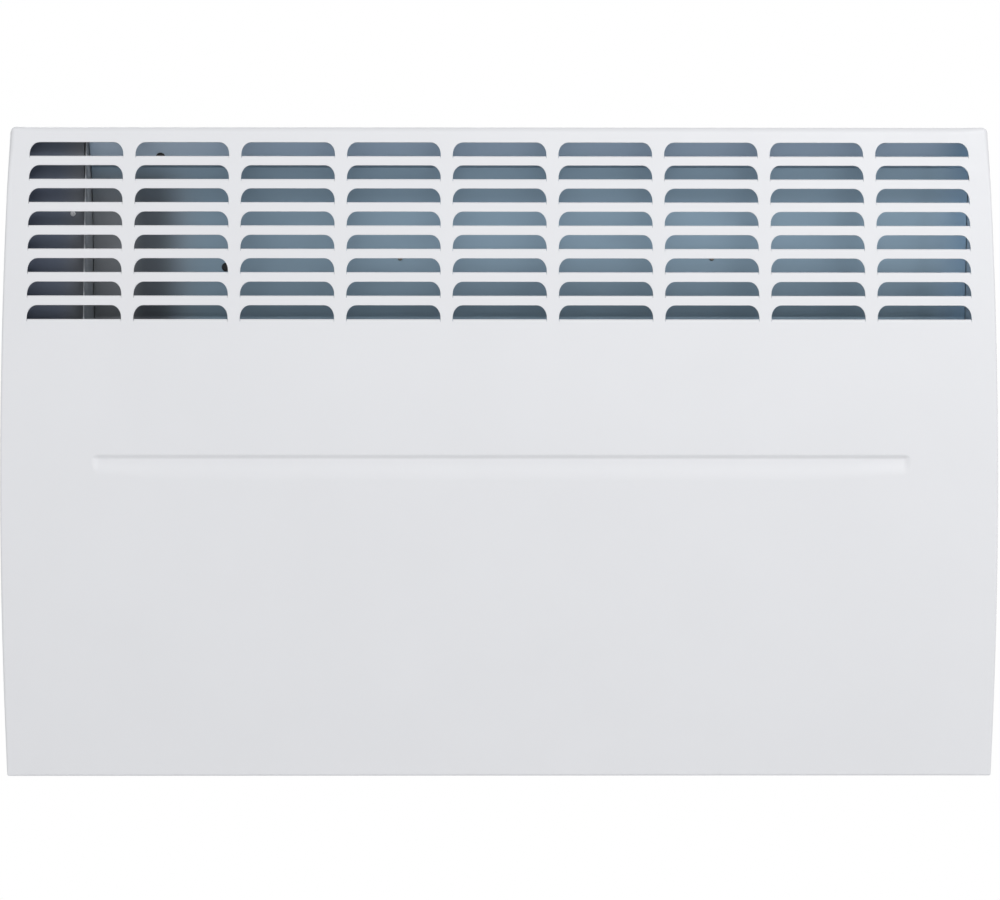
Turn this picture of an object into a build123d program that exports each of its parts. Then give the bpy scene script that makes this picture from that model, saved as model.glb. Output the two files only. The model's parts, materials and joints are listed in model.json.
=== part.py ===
from build123d import *
import os
from math import asin, cos, pi, sin, sqrt

# A wall panel convector heater, in millimetres.
# The wall is the plane Y = 0, the curved front faces -Y and +Z is up.
# The origin is the centre of the four wall fixings.

# ---- Casing ----------------------------------------------------------------
width = 676.0  # across the bowed sides at mid-height
height = 443.0
depth = 98.0  # from the wall to the middle of the curved face
side_bow = 3.5  # how far each side bows out at mid-height
face_radius = 1500.0  # of the curved face, about an axis along X
top_corner = 4.0
bottom_corner = 2.7
front_edge = 1.6  # outside radius of the bend round the face
sheet = 1.0  # painted steel
seam = 0.3  # between two sheets that lie together
wall_gap = 18.0  # from the wall to the casing's back panel
cover_rear = 40.0  # from the wall to the rear edge of the cover
casing_front = 56.0  # from the wall to the front of the casing's top and sides
floor_setback = 2.6  # from the cover's bottom edge to the casing floor's front edge
floor_return = 12.0  # height of the side walls in front of casing_front
lip_depth = 13.0  # of the cover's bottom lip
lip_tab = 14.0  # width of the three tabs that are screwed to the floor
lip_tab_pitch = 252.0

# ---- Louvres ---------------------------------------------------------------
slot_width = 64.0
slot_height = 9.4
slot_corner = (6.8, 8.5)  # width and height of the rounded upper corners
corner_facets = 3
slot_rows = 8
row_pitch = 16.15  # measured along the curved face
column_pitch = 72.2
side_margin = 16.0  # least plain face beside the outer columns
top_margin = 11.1  # plain face above the top row
louvre_bend = 1.8  # from the face's end to the front of a louvre's foot
louvre_bevel = 1.0  # outside the bend
louvre_depth = 9.4
louvre_corner = 5.6
lance_gap = 0.25  # sheared clearance beside a louvre

# ---- Pressed line across the face --------------------------------------------
line_length = 550.0
line_drop = 4.4  # below mid-height
line_radius = 1.5
line_depth = 0.7

# ---- Air intake in the floor -------------------------------------------------
intake_length = 34.0
intake_width = 8.0
intake_pitch = 42.0
intake_count = 14
intake_rows = (31.0, 61.0)  # distances from the wall

# ---- Stiffening ribs in the back panel -----------------------------------------
rib_length = 460.0
rib_width = 14.0
rib_height = 2.0
rib_inset = 49.5  # of their middles from the top and the bottom
rib_corner = 4.0

# ---- Wall bracket and its two quarter-turn locks ---------------------------------
bracket_sheet = 1.5
upright_spacing = 240.0
upright_web = 24.0
upright_flange = 11.0
upright_top = 118.0
upright_bottom = 130.0
rail_height = 24.0
rail_overhang = 20.0
fixing_spacing_x = 300.0
fixing_spacing_z = 190.0
fixing_hole = 5.5
hook_width = 14.0
hook_drop = 100.0
hook_reach = 6.5  # from the back face of the back panel to the hook's tip
hook_height = 10.0
hook_play = 1.2  # round the hook in its slot
lock_pin = 6.0
pin_clearance = 0.05
lock_y = 9.0  # distance of the lock's axis from the wall
lock_drum = 11.4
lock_drum_height = 8.6
lock_barb = (9.0, 4.0, 1.6)
claw_reach = 16.0
claw_inner = 12.2
claw_thickness = 3.0
claw_rise = 4.4  # above the ear
claw_arm = 4.0  # half-width
claw_angle = 32.0
driver_slot = 1.4
lock_play = 0.25

# ---- Rubber buffers between the back panel and the wall ----------------------------
buffer = 14.0
buffer_inset_x = 40.0
buffer_inset_z = 28.0

# ---- Duct --------------------------------------------------------------------
duct_sheet = 0.8  # galvanised steel
partition_inset = 54.0  # from the left side at mid-height
end_plate_inset = 10.0  # from the casing's side
plate_flange = 12.0
louvre_clearance = 2.0
deflector_gap = 0.6  # at each end of the deflector
deflector_foot = 18.0
deflector_stand_off = 8.0
deflector_bottom = 60.0  # below mid-height
deflector_knees = ((126.5, 0.0), (49.5, 12.0), (24.5, 23.0))  # drop from the top, lean forward
deflector_top_gap = 6.0
deflector_front = 20.0  # from the cover's face to the lip
bend = 3.0  # mid-sheet radius of the duct's bends
shield_inset = 8.0  # behind the cover's face
shield_top_drop = 147.5  # below the top
shield_rise = 25.5  # above the bottom
shield_return = 10.0
shield_ear_insets = (46.0, 34.0)  # of the ears' middles from its bottom and its top
shield_ear = 16.0

# ---- Heating element ------------------------------------------------------------
element_y = 54.0  # distance of its axis from the wall
element_rise = 86.5  # of its axis above the bottom
core = 14.0
spigot = 14.0  # bare core at each end
wing_reach = 26.0
wing_thickness = 2.2
wing_angle = 52.0  # from the horizontal
wing_slit = 3.0
wing_slit_pitch = 30.0
wing_root = 10.0  # radius that the slits leave whole
rod = 8.0
rod_overhang = 7.0
terminal_length = 8.0
seal = 8.0
seal_length = 6.0
element_gap = 44.0  # from the partition or the end plate to an element bracket
bush = 22.0
bush_neck = 18.0
bush_flange = 2.5
fit = 0.05  # radial clearance of parts pushed together
element_bracket_height = 44.0
element_bracket_foot = 16.0

# ---- Control box ------------------------------------------------------------------
box_wall = 2.0
box_top_gap = 5.0  # below the casing's top
box_height = 134.0
box_front = 70.0
box_partition_gap = 2.0
box_inset = 6.5  # from the left side to where the fascia starts
box_corner = 3.0
wire_window = (28.0, 26.0)
fascia_length = 120.0
fascia_width = 36.0
fascia_corner = 6.0
fascia_play = 0.4
fascia_flange = 2.0
control_y = 50.0  # distance of the knob and the switch from the wall
fascia_drop = 8.0  # from the top of the box to the top of the fascia
knob_drop = 84.0  # from the top of the fascia
switch_drop = 24.0
lamp_drop = 46.0
dish = 32.0
dish_inset = 11.0  # of its floor from the left side
dish_wall = 1.6
knob = 30.0
knob_proud = 2.0  # of the left side
knob_foot = 0.6  # above the dish's floor
knob_chamfer = 1.2
knob_grips = 14  # flats round the rim
knob_skirt = 2.0  # left whole below the flutes
knob_bore = 8.0
pointer = 1.6
spindle = 6.0
collar_depth = 6.0
tab_width = 0.8
tab_thickness = 6.3
tab_length = 6.0
switch_tab_shifts = ((4.0, 7.0), (-4.0, -7.0))  # from the middle of the switch
thermostat_tab_shifts = ((-4.0, 9.0), (-10.0, -7.0))  # from the spindle
thermostat_size = (18.0, 30.0, 34.0)
switch_frame = (17.0, 26.0)
switch_opening = (13.0, 22.0)
bezel = 1.0
switch_length = 24.0
rocker_width = 10.0
rocker_radius = 9.6
rocker_pin = 3.0
rocker_sink = 2.6  # of the rocker's axis behind the frame's face
rocker_valley = 3.0  # from the axis to the middle of the rocker's face
rocker_tilt = 9.0
rocker_play = 0.2
rocker_root = 4.0
lens = (5.0, 12.0)
lens_rim = 1.0
lens_stem = 8.0
lamp = 5.0
lamp_length = 10.0

# ---- Supply, sensor and wiring -----------------------------------------------------
compartment_inset = 33.0  # of the terminal block and the earth point from the left side
gland_inset = 36.0
gland_rise = 53.5
gland_bore = 8.0
gland_neck = 14.0
gland_flange = 20.0
gland_reach = 8.0
block_rise = 109.5
block_size = (30.0, 17.0, 34.0)
pole_pitch = 9.0
wire = 2.6
wire_y = 27.0
wire_bend = 9.0
riser_turn = 30.0
supply_turn = 70.0  # below the control box
wire_sides = 6
clip_wall = 1.5
clip_width = 7.0
earth_tag = (7.0, 16.0)
earth_rise = 159.5
limiter_rise = 143.5
limiter = 14.0
limiter_depth = 8.0
limiter_flange = (9.0, 26.0)
bulb = 6.0
bulb_inset = 15.0
bulb_length = 60.0
bulb_rise = 45.5
capillary = 1.6
capillary_y = 40.0
capillary_turn = 50.0  # below the control box
wire_window_rise = 31.5
wire_window_size = 8.0

# ---- Worked out from the above -----------------------------------------------------
half_width = width / 2
half_height = height / 2
side_radius = (half_height**2 + side_bow**2) / (2 * side_bow)
casing_inset = sheet + seam
panel_front = wall_gap + sheet  # the back panel's inner face
casing_top = half_height - casing_inset - sheet
casing_floor = -casing_top
bottom_front = depth - face_radius + sqrt(face_radius**2 - half_height**2)
floor_front = bottom_front - floor_setback
lip_rear = bottom_front - lip_depth
upright_x = upright_spacing / 2
partition_x = half_width - partition_inset
compartment_x = half_width - compartment_inset
gland_x = half_width - gland_inset
bulb_x = half_width - bulb_inset
box_side = half_width - box_inset
dish_floor = half_width - dish_inset
knob_front = half_width + knob_proud
element_drop = half_height - element_rise
gland_drop = half_height - gland_rise
bulb_drop = half_height - bulb_rise
wire_window_drop = half_height - wire_window_rise
limiter_z = limiter_rise - half_height
block_z = block_rise - half_height
earth_z = earth_rise - half_height
shield_top = half_height - shield_top_drop
shield_bottom = half_height - shield_rise
shield_ears = (shield_ear_insets[0] - shield_bottom, shield_top - shield_ear_insets[1])
partition_face = partition_x - duct_sheet
end_plate_x = width / 2 - end_plate_inset - casing_inset
duct_left = -partition_face + deflector_gap
duct_right = end_plate_x - deflector_gap
duct_middle = (duct_left + duct_right) / 2
duct_length = duct_right - duct_left
bracket_left_x = -partition_face + element_gap
bracket_right_x = end_plate_x - element_gap


def face_y(z, inset=0.0):
    """Y of the cover's curved face at height z, or of a surface inset behind it."""
    return face_radius - depth - sqrt((face_radius - inset) ** 2 - z**2)


def side_x(z, inset=0.0):
    """X of the bowed side at height z, or of a surface inset from it."""
    return width / 2 - side_radius + sqrt((side_radius - inset) ** 2 - z**2)


def casing_block(rear, front, inset):
    """A solid with the casing's outline, shrunk by inset, between two distances from the wall."""
    top = half_height - inset
    edge = side_x(top, inset)
    middle = width / 2 - inset
    with BuildPart() as block:
        with BuildSketch(Plane.XZ.offset(rear)) as outline:
            with BuildLine():
                Line((-edge, top), (edge, top))
                ThreePointArc((edge, top), (middle, 0), (edge, -top))
                Line((edge, -top), (-edge, -top))
                ThreePointArc((-edge, -top), (-middle, 0), (-edge, top))
            make_face()
            fillet(outline.vertices().group_by(Axis.Y)[-1], top_corner - inset)
            fillet(outline.vertices().group_by(Axis.Y)[0], bottom_corner - inset)
        extrude(amount=front - rear)
    return block.part


def cover_block(rear, inset):
    """The casing's outline with the curved face in front."""
    with BuildPart() as block:
        add(casing_block(rear, depth, inset))
        with BuildSketch(Plane.YZ):
            with Locations((face_radius - depth, 0)):
                Circle(face_radius - inset)
        extrude(amount=width, both=True, mode=Mode.INTERSECT)
    return block.part


def bent_sheet(plane, points, radius, thickness, length):
    """A strip of sheet bent along points at mid-thickness and drawn out on both sides of plane."""
    with BuildPart() as strip:
        with BuildSketch(plane):
            with BuildLine():
                FilletPolyline(*points, radius=radius)
            trace(line_width=thickness)
        extrude(amount=length / 2, both=True)
    return strip.part


def folded_strip(points, thickness):
    """The section of a strip folded square along points, which run parallel to the sketch's axes."""
    with BuildSketch() as section:
        for (x0, y0), (x1, y1) in zip(points, points[1:]):
            with Locations(((x0 + x1) / 2, (y0 + y1) / 2)):
                Rectangle(abs(x1 - x0) + thickness, abs(y1 - y0) + thickness)
    return section.sketch


def wire_run(points, radius):
    """A wire or capillary along points, mitred where it turns."""
    with BuildPart() as run:
        with BuildLine():
            route = Polyline(*points)
        with BuildSketch(Plane(origin=route @ 0, z_dir=route % 0)):
            RegularPolygon(radius, wire_sides)
        sweep(transition=Transition.RIGHT)
    return run.part


# The fascia stands in notches of the cover's and the casing's left sides.
box_top = casing_top - box_top_gap
box_bottom = box_top - box_height
fascia_top = box_top - fascia_drop
fascia_middle = fascia_top - fascia_length / 2
knob_z = fascia_top - knob_drop
switch_z = fascia_top - switch_drop
lamp_z = fascia_top - lamp_drop
switch_tabs = [(y - control_y, z + switch_z) for y, z in switch_tab_shifts]
thermostat_tabs = [(y - control_y, z + knob_z) for y, z in thermostat_tab_shifts]


def fascia_outline(play):
    """The fascia's outline on the side of the casing, larger all round by play."""
    return {
        "width": fascia_width + 2 * play,
        "height": fascia_length + 2 * play,
        "radius": fascia_corner + play,
    }


# ---- Front cover: one pressing with lanced louvres ------------------------------------

top_arc = face_radius * asin(half_height / face_radius)
slot_columns = 1 + int((width - 2 * side_margin - slot_width) // column_pitch)


def row_plane(row):
    """Where the louvres of a row leave the face: local X along the row, Z out of the face."""
    along = top_arc - top_margin - slot_height - louvre_bend - row * row_pitch
    angle = along / face_radius
    return Plane(
        origin=(0, face_radius * (1 - cos(angle)) - depth, face_radius * sin(angle)),
        x_dir=(1, 0, 0),
        z_dir=(0, -cos(angle), sin(angle)),
    )


with BuildPart() as louvre:
    front, foot = louvre_bend, louvre_bend - sheet
    with BuildSketch(Plane.YZ):
        with BuildLine():
            Polyline(
                (0, -sheet), (0, 0), (front - louvre_bevel, 0), (front, -louvre_bevel),
                (front, -louvre_depth), (foot, -louvre_depth), (foot, -sheet),
                close=True,
            )
        make_face()
    extrude(amount=slot_width / 2 - lance_gap, both=True)
    chamfer(louvre.edges().filter_by(Axis.Y).group_by(Axis.Z)[0], louvre_corner)

# Half of a slot's outline, from the middle of its foot round an elliptical corner.
slot_top = slot_height + louvre_bend
slot_half = [(slot_width / 2, 0)] + [
    (slot_width / 2 - slot_corner[0] * (1 - cos(turn)), slot_top - slot_corner[1] * (1 - sin(turn)))
    for turn in (n * pi / 2 / corner_facets for n in range(corner_facets + 1))
]


def line_rod(radius):
    """A rod that lies in the pressed line, its axis just in front of the face."""
    with BuildPart() as bar:
        with Locations((0, face_y(-line_drop) + line_depth - line_radius, -line_drop)):
            Cylinder(radius, line_length + 2 * (radius - line_radius), rotation=(0, 90, 0))
    return bar.part


with BuildPart() as line_ridge:
    add(line_rod(line_radius + sheet))
    add(cover_block(cover_rear, sheet / 2), mode=Mode.INTERSECT)

with BuildPart() as front_cover:
    add(cover_block(cover_rear, 0))
    fillet(front_cover.faces().sort_by(Axis.Y)[0].edges(), front_edge)
    add(cover_block(wall_gap, sheet), mode=Mode.SUBTRACT)
    # The pressed line.
    add(line_ridge.part)
    add(line_rod(line_radius), mode=Mode.SUBTRACT)
    # The bottom is a lip with three tabs.
    with BuildSketch(Plane.XY.offset(-half_height)):
        with Locations((0, -cover_rear)):
            Rectangle(2 * side_x(half_height) - 2 * bottom_corner, lip_rear - cover_rear,
                      align=(Align.CENTER, Align.MAX))
            with GridLocations(lip_tab_pitch, 0, 3, 1):
                Rectangle(lip_tab, lip_rear - cover_rear, align=(Align.CENTER, Align.MAX),
                          mode=Mode.SUBTRACT)
    extrude(amount=sheet, mode=Mode.SUBTRACT)
    # The notch for the fascia is open to the rear.
    with BuildSketch(Plane.YZ.offset(-width / 2 - sheet)):
        with Locations((-control_y, fascia_middle)):
            RectangleRounded(**fascia_outline(fascia_play))
        with Locations((-control_y, fascia_middle)):
            Rectangle(control_y, fascia_length + 2 * fascia_play, align=(Align.MIN, Align.CENTER))
    extrude(amount=3 * sheet + side_bow, mode=Mode.SUBTRACT)
    # The louvres: each is sheared on three sides and bent in about its foot.
    for row in range(slot_rows):
        with BuildSketch(row_plane(row).offset(2 * sheet)):
            with BuildLine():
                Polyline(*slot_half, *[(-x, y) for x, y in reversed(slot_half)], close=True)
            slot = make_face()
            with GridLocations(column_pitch, 0, slot_columns, 1):
                add(slot)
        extrude(amount=-5 * sheet, mode=Mode.SUBTRACT)
    first = (1 - slot_columns) / 2
    with Locations(*[
        row_plane(row).location * Location(((first + column) * column_pitch, 0, 0))
        for row in range(slot_rows)
        for column in range(slot_columns)
    ]):
        add(louvre.part)

# ---- Rear casing ---------------------------------------------------------------------

buffer_places = [
    (side * (side_x(0) - buffer_inset_x), -half_height + buffer_inset_z) for side in (-1, 1)
]
hook_slot_height = hook_height + 2 * hook_play
hook_z = -hook_drop
lock_base = upright_top + bracket_sheet
claw_z = lock_base + claw_rise
lock_slot_far = claw_arm + 4 * lock_play
lock_slot_near = sqrt(claw_reach**2 - (wall_gap - lock_y) ** 2) + 4 * lock_play


with BuildPart() as rear_casing:
    add(casing_block(wall_gap, floor_front, casing_inset))
    add(casing_block(panel_front, depth, casing_inset + sheet), mode=Mode.SUBTRACT)
    # In front of the top and the sides only the floor and low returns stay.
    with BuildSketch(Plane.XZ.offset(casing_front)):
        with Locations((0, casing_floor + floor_return)):
            Rectangle(width, height, align=(Align.CENTER, Align.MIN))
    extrude(amount=depth, mode=Mode.SUBTRACT)
    # Two ribs pressed towards the wall.
    with BuildSketch(Plane.XZ.offset(wall_gap)):
        with GridLocations(0, height - 2 * rib_inset, 1, 2):
            chamfer(Rectangle(rib_length, rib_width).vertices(), rib_corner)
    extrude(amount=-rib_height)
    with BuildSketch(Plane.XZ.offset(panel_front)):
        with GridLocations(0, height - 2 * rib_inset, 1, 2):
            chamfer(Rectangle(rib_length - 2 * sheet, rib_width - 2 * sheet).vertices(), rib_corner)
    extrude(amount=-rib_height, mode=Mode.SUBTRACT)
    # Air intake slots.
    with BuildSketch(Plane.XY.offset(-half_height)):
        for distance in intake_rows:
            with Locations((0, -distance)):
                with GridLocations(intake_pitch, 0, intake_count, 1):
                    Rectangle(intake_length, intake_width)
    extrude(amount=casing_inset + 2 * sheet, mode=Mode.SUBTRACT)
    # Slots for the hooks and the locks of the wall bracket, and the gland's hole.
    with BuildSketch(Plane.XZ.offset(wall_gap - sheet)):
        with Locations((-upright_x, hook_z + hook_play / 4), (upright_x, hook_z + hook_play / 4)):
            Rectangle(hook_width + 2 * hook_play, hook_slot_height, align=(Align.CENTER, Align.MAX))
        for side in (-1, 1):
            middle = side * (upright_x - (lock_slot_near - lock_slot_far) / 2)
            with Locations((middle, claw_z + claw_thickness / 2)):
                Rectangle(lock_slot_near + lock_slot_far, claw_thickness + 2 * hook_play)
        with Locations((-gland_x, -gland_drop)):
            Circle(gland_neck / 2 + fit)
    extrude(amount=3 * sheet, mode=Mode.SUBTRACT)
    # The notch for the fascia.
    with BuildSketch(Plane.YZ.offset(-width / 2)):
        with Locations((-control_y, fascia_middle)):
            RectangleRounded(**fascia_outline(fascia_play))
        with Locations((-control_y, fascia_middle)):
            Rectangle(control_y, fascia_length + 2 * fascia_play, align=(Align.MAX, Align.CENTER))
    extrude(amount=casing_inset + 2 * sheet + side_bow, mode=Mode.SUBTRACT)

with BuildPart() as wall_buffers:
    with BuildSketch(Plane.XZ):
        with Locations(*buffer_places):
            Circle(buffer / 2)
    extrude(amount=wall_gap)

# ---- Wall bracket: a ladder of two hat sections, with hooks below and ears above ----------

web_y = wall_gap - bracket_sheet - seam  # the hats' outer face stands off the back panel
with BuildPart() as wall_bracket:
    # Two rails on the wall.
    with BuildSketch(Plane.XZ):
        with GridLocations(0, fixing_spacing_z, 1, 2):
            Rectangle(fixing_spacing_x + 2 * rail_overhang, rail_height)
    extrude(amount=bracket_sheet)
    # Two uprights of hat section.
    half = bracket_sheet / 2
    web_edge = upright_web / 2 - half
    foot_edge = upright_web / 2 + upright_flange - half
    for side in (-1, 1):
        with BuildSketch(Plane.XY.offset(-upright_bottom)):
            add(folded_strip(
                [
                    (side * upright_x - foot_edge, -half),
                    (side * upright_x - web_edge, -half),
                    (side * upright_x - web_edge, half - web_y),
                    (side * upright_x + web_edge, half - web_y),
                    (side * upright_x + web_edge, -half),
                    (side * upright_x + foot_edge, -half),
                ],
                bracket_sheet,
            ))
        extrude(amount=upright_bottom + upright_top)
        # The ear that carries the lock.
        with BuildSketch(Plane.XY.offset(upright_top)):
            with Locations((side * upright_x, 0)):
                Rectangle(upright_web, web_y, align=(Align.CENTER, Align.MAX))
            with Locations((side * upright_x, -lock_y)):
                Circle(lock_pin / 2 + pin_clearance, mode=Mode.SUBTRACT)
        extrude(amount=bracket_sheet)
        # The hook: out of the web, through the back panel and up behind it.
        with BuildSketch(Plane.YZ.offset(side * upright_x)):
            add(folded_strip(
                [
                    (half - web_y, hook_z - half),
                    (-wall_gap - hook_reach + half, hook_z - half),
                    (-wall_gap - hook_reach + half, hook_z + hook_height - bracket_sheet),
                ],
                bracket_sheet,
            ))
        extrude(amount=hook_width / 2, both=True)
    # Fixing holes.
    with BuildSketch(Plane.XZ):
        with GridLocations(fixing_spacing_x, fixing_spacing_z, 2, 2):
            Circle(fixing_hole / 2)
    extrude(amount=bracket_sheet, mode=Mode.SUBTRACT)


def bracket_lock(side):
    """A lock that turns in an ear: drum above, snap barb below, claw through the back panel."""
    start, end = -asin(claw_arm / claw_reach), claw_angle * pi / 180
    rim = [start + (end - start) * n / 3 for n in range(4)]
    inner = asin(claw_arm / claw_inner)
    claw = [
        (-claw_arm, 0),
        *[(claw_reach * sin(turn), -claw_reach * cos(turn)) for turn in rim],
        *[(claw_inner * sin(turn), -claw_inner * cos(turn)) for turn in (end, inner)],
        (claw_arm, 0),
    ]
    with BuildPart() as lock:
        with BuildSketch(Plane.XY.offset(lock_base + lock_play)):
            Circle(lock_drum / 2)
        extrude(amount=lock_drum_height)
        with BuildSketch(Plane.XY.offset(claw_z)):
            with BuildLine():
                Polyline(*[(side * x, y) for x, y in claw], close=True)
            make_face()
        extrude(amount=claw_thickness)
        with BuildSketch(Plane.XY.offset(lock_base + lock_play)):
            Circle(lock_pin / 2)
        extrude(amount=-bracket_sheet - 2 * lock_play)
        with Locations((0, 0, upright_top - lock_play)):
            Box(*lock_barb, align=(Align.CENTER, Align.CENTER, Align.MAX))
        with Locations((0, 0, lock_base + lock_play + lock_drum_height)):
            Box(lock_drum, driver_slot, 2 * driver_slot, mode=Mode.SUBTRACT)
    return Location((side * upright_x, -lock_y, 0)) * lock.part


locks = {side: bracket_lock(side) for side in (-1, 1)}
with BuildPart() as lock_left:
    add(locks[-1])
with BuildPart() as lock_right:
    add(locks[1])

# ---- Duct: partition, end plate, air deflector and heat shield ------------------------------

plate_top = casing_top - 2 * sheet
plate_bottom = casing_floor + 2 * sheet
plate_inset = louvre_depth + louvre_clearance
flange_top = -deflector_bottom - 2 * sheet


def duct_plate(x, flange_side):
    """A plate that closes the duct's side: its front follows the face, its flange lies on the back panel."""
    with BuildPart() as plate:
        with BuildSketch(Plane.YZ.offset(x)):
            with BuildLine():
                Line((-panel_front, plate_bottom), (face_y(plate_bottom, plate_inset), plate_bottom))
                ThreePointArc(
                    (face_y(plate_bottom, plate_inset), plate_bottom),
                    (face_y(0, plate_inset), 0),
                    (face_y(plate_top, plate_inset), plate_top),
                )
                Line((face_y(plate_top, plate_inset), plate_top), (-panel_front, plate_top))
                Line((-panel_front, plate_top), (-panel_front, plate_bottom))
            make_face()
        extrude(amount=duct_sheet)
        with BuildSketch(Plane.XZ.offset(panel_front)):
            with Locations((x + duct_sheet / 2, plate_bottom + plate_flange)):
                Rectangle(plate_flange, flange_top - plate_bottom - plate_flange,
                          align=(Align.MIN if flange_side > 0 else Align.MAX, Align.MIN))
        extrude(amount=duct_sheet)
    return plate.part


with BuildPart() as control_partition:
    add(duct_plate(-partition_x, 1))
    with BuildSketch(Plane.YZ.offset(-partition_x)):
        with Locations((-element_y, -element_drop)):
            Rectangle(2 * seal, 2 * seal)
        with Locations((-wire_y, -wire_window_drop)):
            Rectangle(wire_window_size, wire_window_size)
    extrude(amount=duct_sheet, mode=Mode.SUBTRACT)

with BuildPart() as duct_end_plate:
    add(duct_plate(end_plate_x, -1))

duct_plane = Plane.YZ.offset(duct_middle)
foot_y = -panel_front - duct_sheet / 2
back_y = foot_y - deflector_stand_off
deflector_top = casing_top - deflector_top_gap
deflector_points = [
    (foot_y, -deflector_bottom),
    (foot_y, -deflector_bottom + deflector_foot),
    (back_y, -deflector_bottom + deflector_foot + deflector_stand_off),
    *[(back_y - lean, half_height - drop) for drop, lean in deflector_knees],
    (face_y(deflector_top, deflector_front), deflector_top),
]
with BuildPart() as air_deflector:
    add(bent_sheet(duct_plane, deflector_points, bend, duct_sheet, duct_length))

with BuildPart() as heat_shield:
    with BuildSketch(duct_plane):
        with BuildLine():
            Line((face_y(-shield_bottom, shield_inset + shield_return), -shield_bottom),
                 (face_y(-shield_bottom, shield_inset), -shield_bottom))
            ThreePointArc(
                (face_y(-shield_bottom, shield_inset), -shield_bottom),
                (face_y(0, shield_inset), 0),
                (face_y(shield_top, shield_inset), shield_top),
            )
            Line((face_y(shield_top, shield_inset), shield_top),
                 (face_y(shield_top, shield_inset + shield_return), shield_top))
        trace(line_width=duct_sheet)
    extrude(amount=duct_length / 2, both=True)
    # Ears at both ends lie against the partition and the end plate.
    for start, way in ((duct_left, 1), (duct_right, -1)):
        with BuildSketch(Plane.YZ.offset(start)):
            with Locations(*[(face_y(z, shield_inset), z) for z in shield_ears]):
                Rectangle(shield_ear, shield_ear, align=(Align.MIN, Align.CENTER))
        extrude(amount=way * duct_sheet)

# ---- Heating element --------------------------------------------------------------------------

core_left = bracket_left_x - spigot / 2
core_right = bracket_right_x + spigot / 2
wing_left, wing_right = core_left + spigot, core_right - spigot
slit_count = int((wing_right - wing_left) // wing_slit_pitch)

with BuildPart() as element_fin_body:
    with BuildSketch(Plane.YZ.offset(core_left)):
        with Locations((-element_y, -element_drop)):
            Circle(core / 2)
    extrude(amount=core_right - core_left)
    with BuildSketch(Plane.YZ.offset(wing_left)):
        with Locations((-element_y, -element_drop)):
            for angle in (wing_angle, 180 - wing_angle, 180 + wing_angle, -wing_angle):
                with PolarLocations(0, 1, start_angle=angle):
                    Rectangle(wing_reach, wing_thickness, align=(Align.MIN, Align.CENTER))
    extrude(amount=wing_right - wing_left)
    # Slits that let the air cross the wings.
    with BuildSketch(Plane.XY.offset(wing_root - element_drop)):
        with Locations(((wing_left + wing_right) / 2, -element_y)):
            with GridLocations(wing_slit_pitch, 0, slit_count, 1):
                Rectangle(wing_slit, 2 * wing_reach)
    extrude(amount=wing_reach, mode=Mode.SUBTRACT)
    with BuildSketch(Plane.XY.offset(-wing_root - element_drop)):
        with Locations(((wing_left + wing_right) / 2, -element_y)):
            with GridLocations(wing_slit_pitch, 0, slit_count, 1):
                Rectangle(wing_slit, 2 * wing_reach)
    extrude(amount=-wing_reach, mode=Mode.SUBTRACT)
    with BuildSketch(Plane.YZ.offset(core_left)):
        with Locations((-element_y, -element_drop)):
            Circle(rod / 2 + fit)
    extrude(amount=core_right - core_left, mode=Mode.SUBTRACT)

rod_left, rod_right = core_left - rod_overhang, core_right + rod_overhang
with BuildPart() as element_heater_rod:
    with BuildSketch(Plane.YZ.offset(rod_left)):
        with Locations((-element_y, -element_drop)):
            Circle(rod / 2)
    extrude(amount=rod_right - rod_left)

with BuildPart() as element_terminals:
    for start, way in ((rod_left - seal_length, -1), (rod_right + seal_length, 1)):
        with BuildSketch(Plane.YZ.offset(start)):
            with Locations((-element_y, -element_drop)):
                Rectangle(tab_width, tab_thickness)
        extrude(amount=way * terminal_length)

with BuildPart() as element_end_seals:
    for start, way in ((rod_left, -1), (rod_right, 1)):
        with BuildSketch(Plane.YZ.offset(start)):
            with Locations((-element_y, -element_drop)):
                Circle(seal / 2)
        extrude(amount=way * seal_length)

with BuildPart() as element_bushes:
    for x in (bracket_left_x, bracket_right_x):
        with Locations((x, -element_y, -element_drop)):
            Box(2 * bush_flange + duct_sheet, bush_neck, bush_neck)
            with Locations((-(bush_flange + duct_sheet) / 2 - fit, 0, 0),
                           ((bush_flange + duct_sheet) / 2 + fit, 0, 0)):
                Box(bush_flange, bush, bush)
        with BuildSketch(Plane.YZ.offset(x)):
            with Locations((-element_y, -element_drop)):
                Circle(core / 2 + fit)
        extrude(amount=2 * bush_flange, both=True, mode=Mode.SUBTRACT)


def element_bracket(x, side):
    """A bent bracket with its foot on the back panel and a square hole for the bush."""
    plane = Plane.XY.offset(-element_drop)
    points = (
        (x - side * element_bracket_foot, foot_y),
        (x, foot_y),
        (x, -element_y - bush / 2 - 2 * bush_flange),
    )
    with BuildPart() as bracket:
        add(bent_sheet(plane, points, bend / 2, duct_sheet, element_bracket_height))
        with BuildSketch(Plane.YZ.offset(x)):
            with Locations((-element_y, -element_drop)):
                Rectangle(bush_neck + 2 * fit, bush_neck + 2 * fit)
        extrude(amount=duct_sheet, both=True, mode=Mode.SUBTRACT)
        chamfer(bracket.edges().filter_by(Axis.X).group_by(Axis.Y)[0], 2 * bend)
    return bracket.part


with BuildPart() as element_bracket_left:
    add(element_bracket(bracket_left_x, 1))

with BuildPart() as element_bracket_right:
    add(element_bracket(bracket_right_x, -1))

# ---- Thermal limiter on the partition -----------------------------------------------------------

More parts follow.
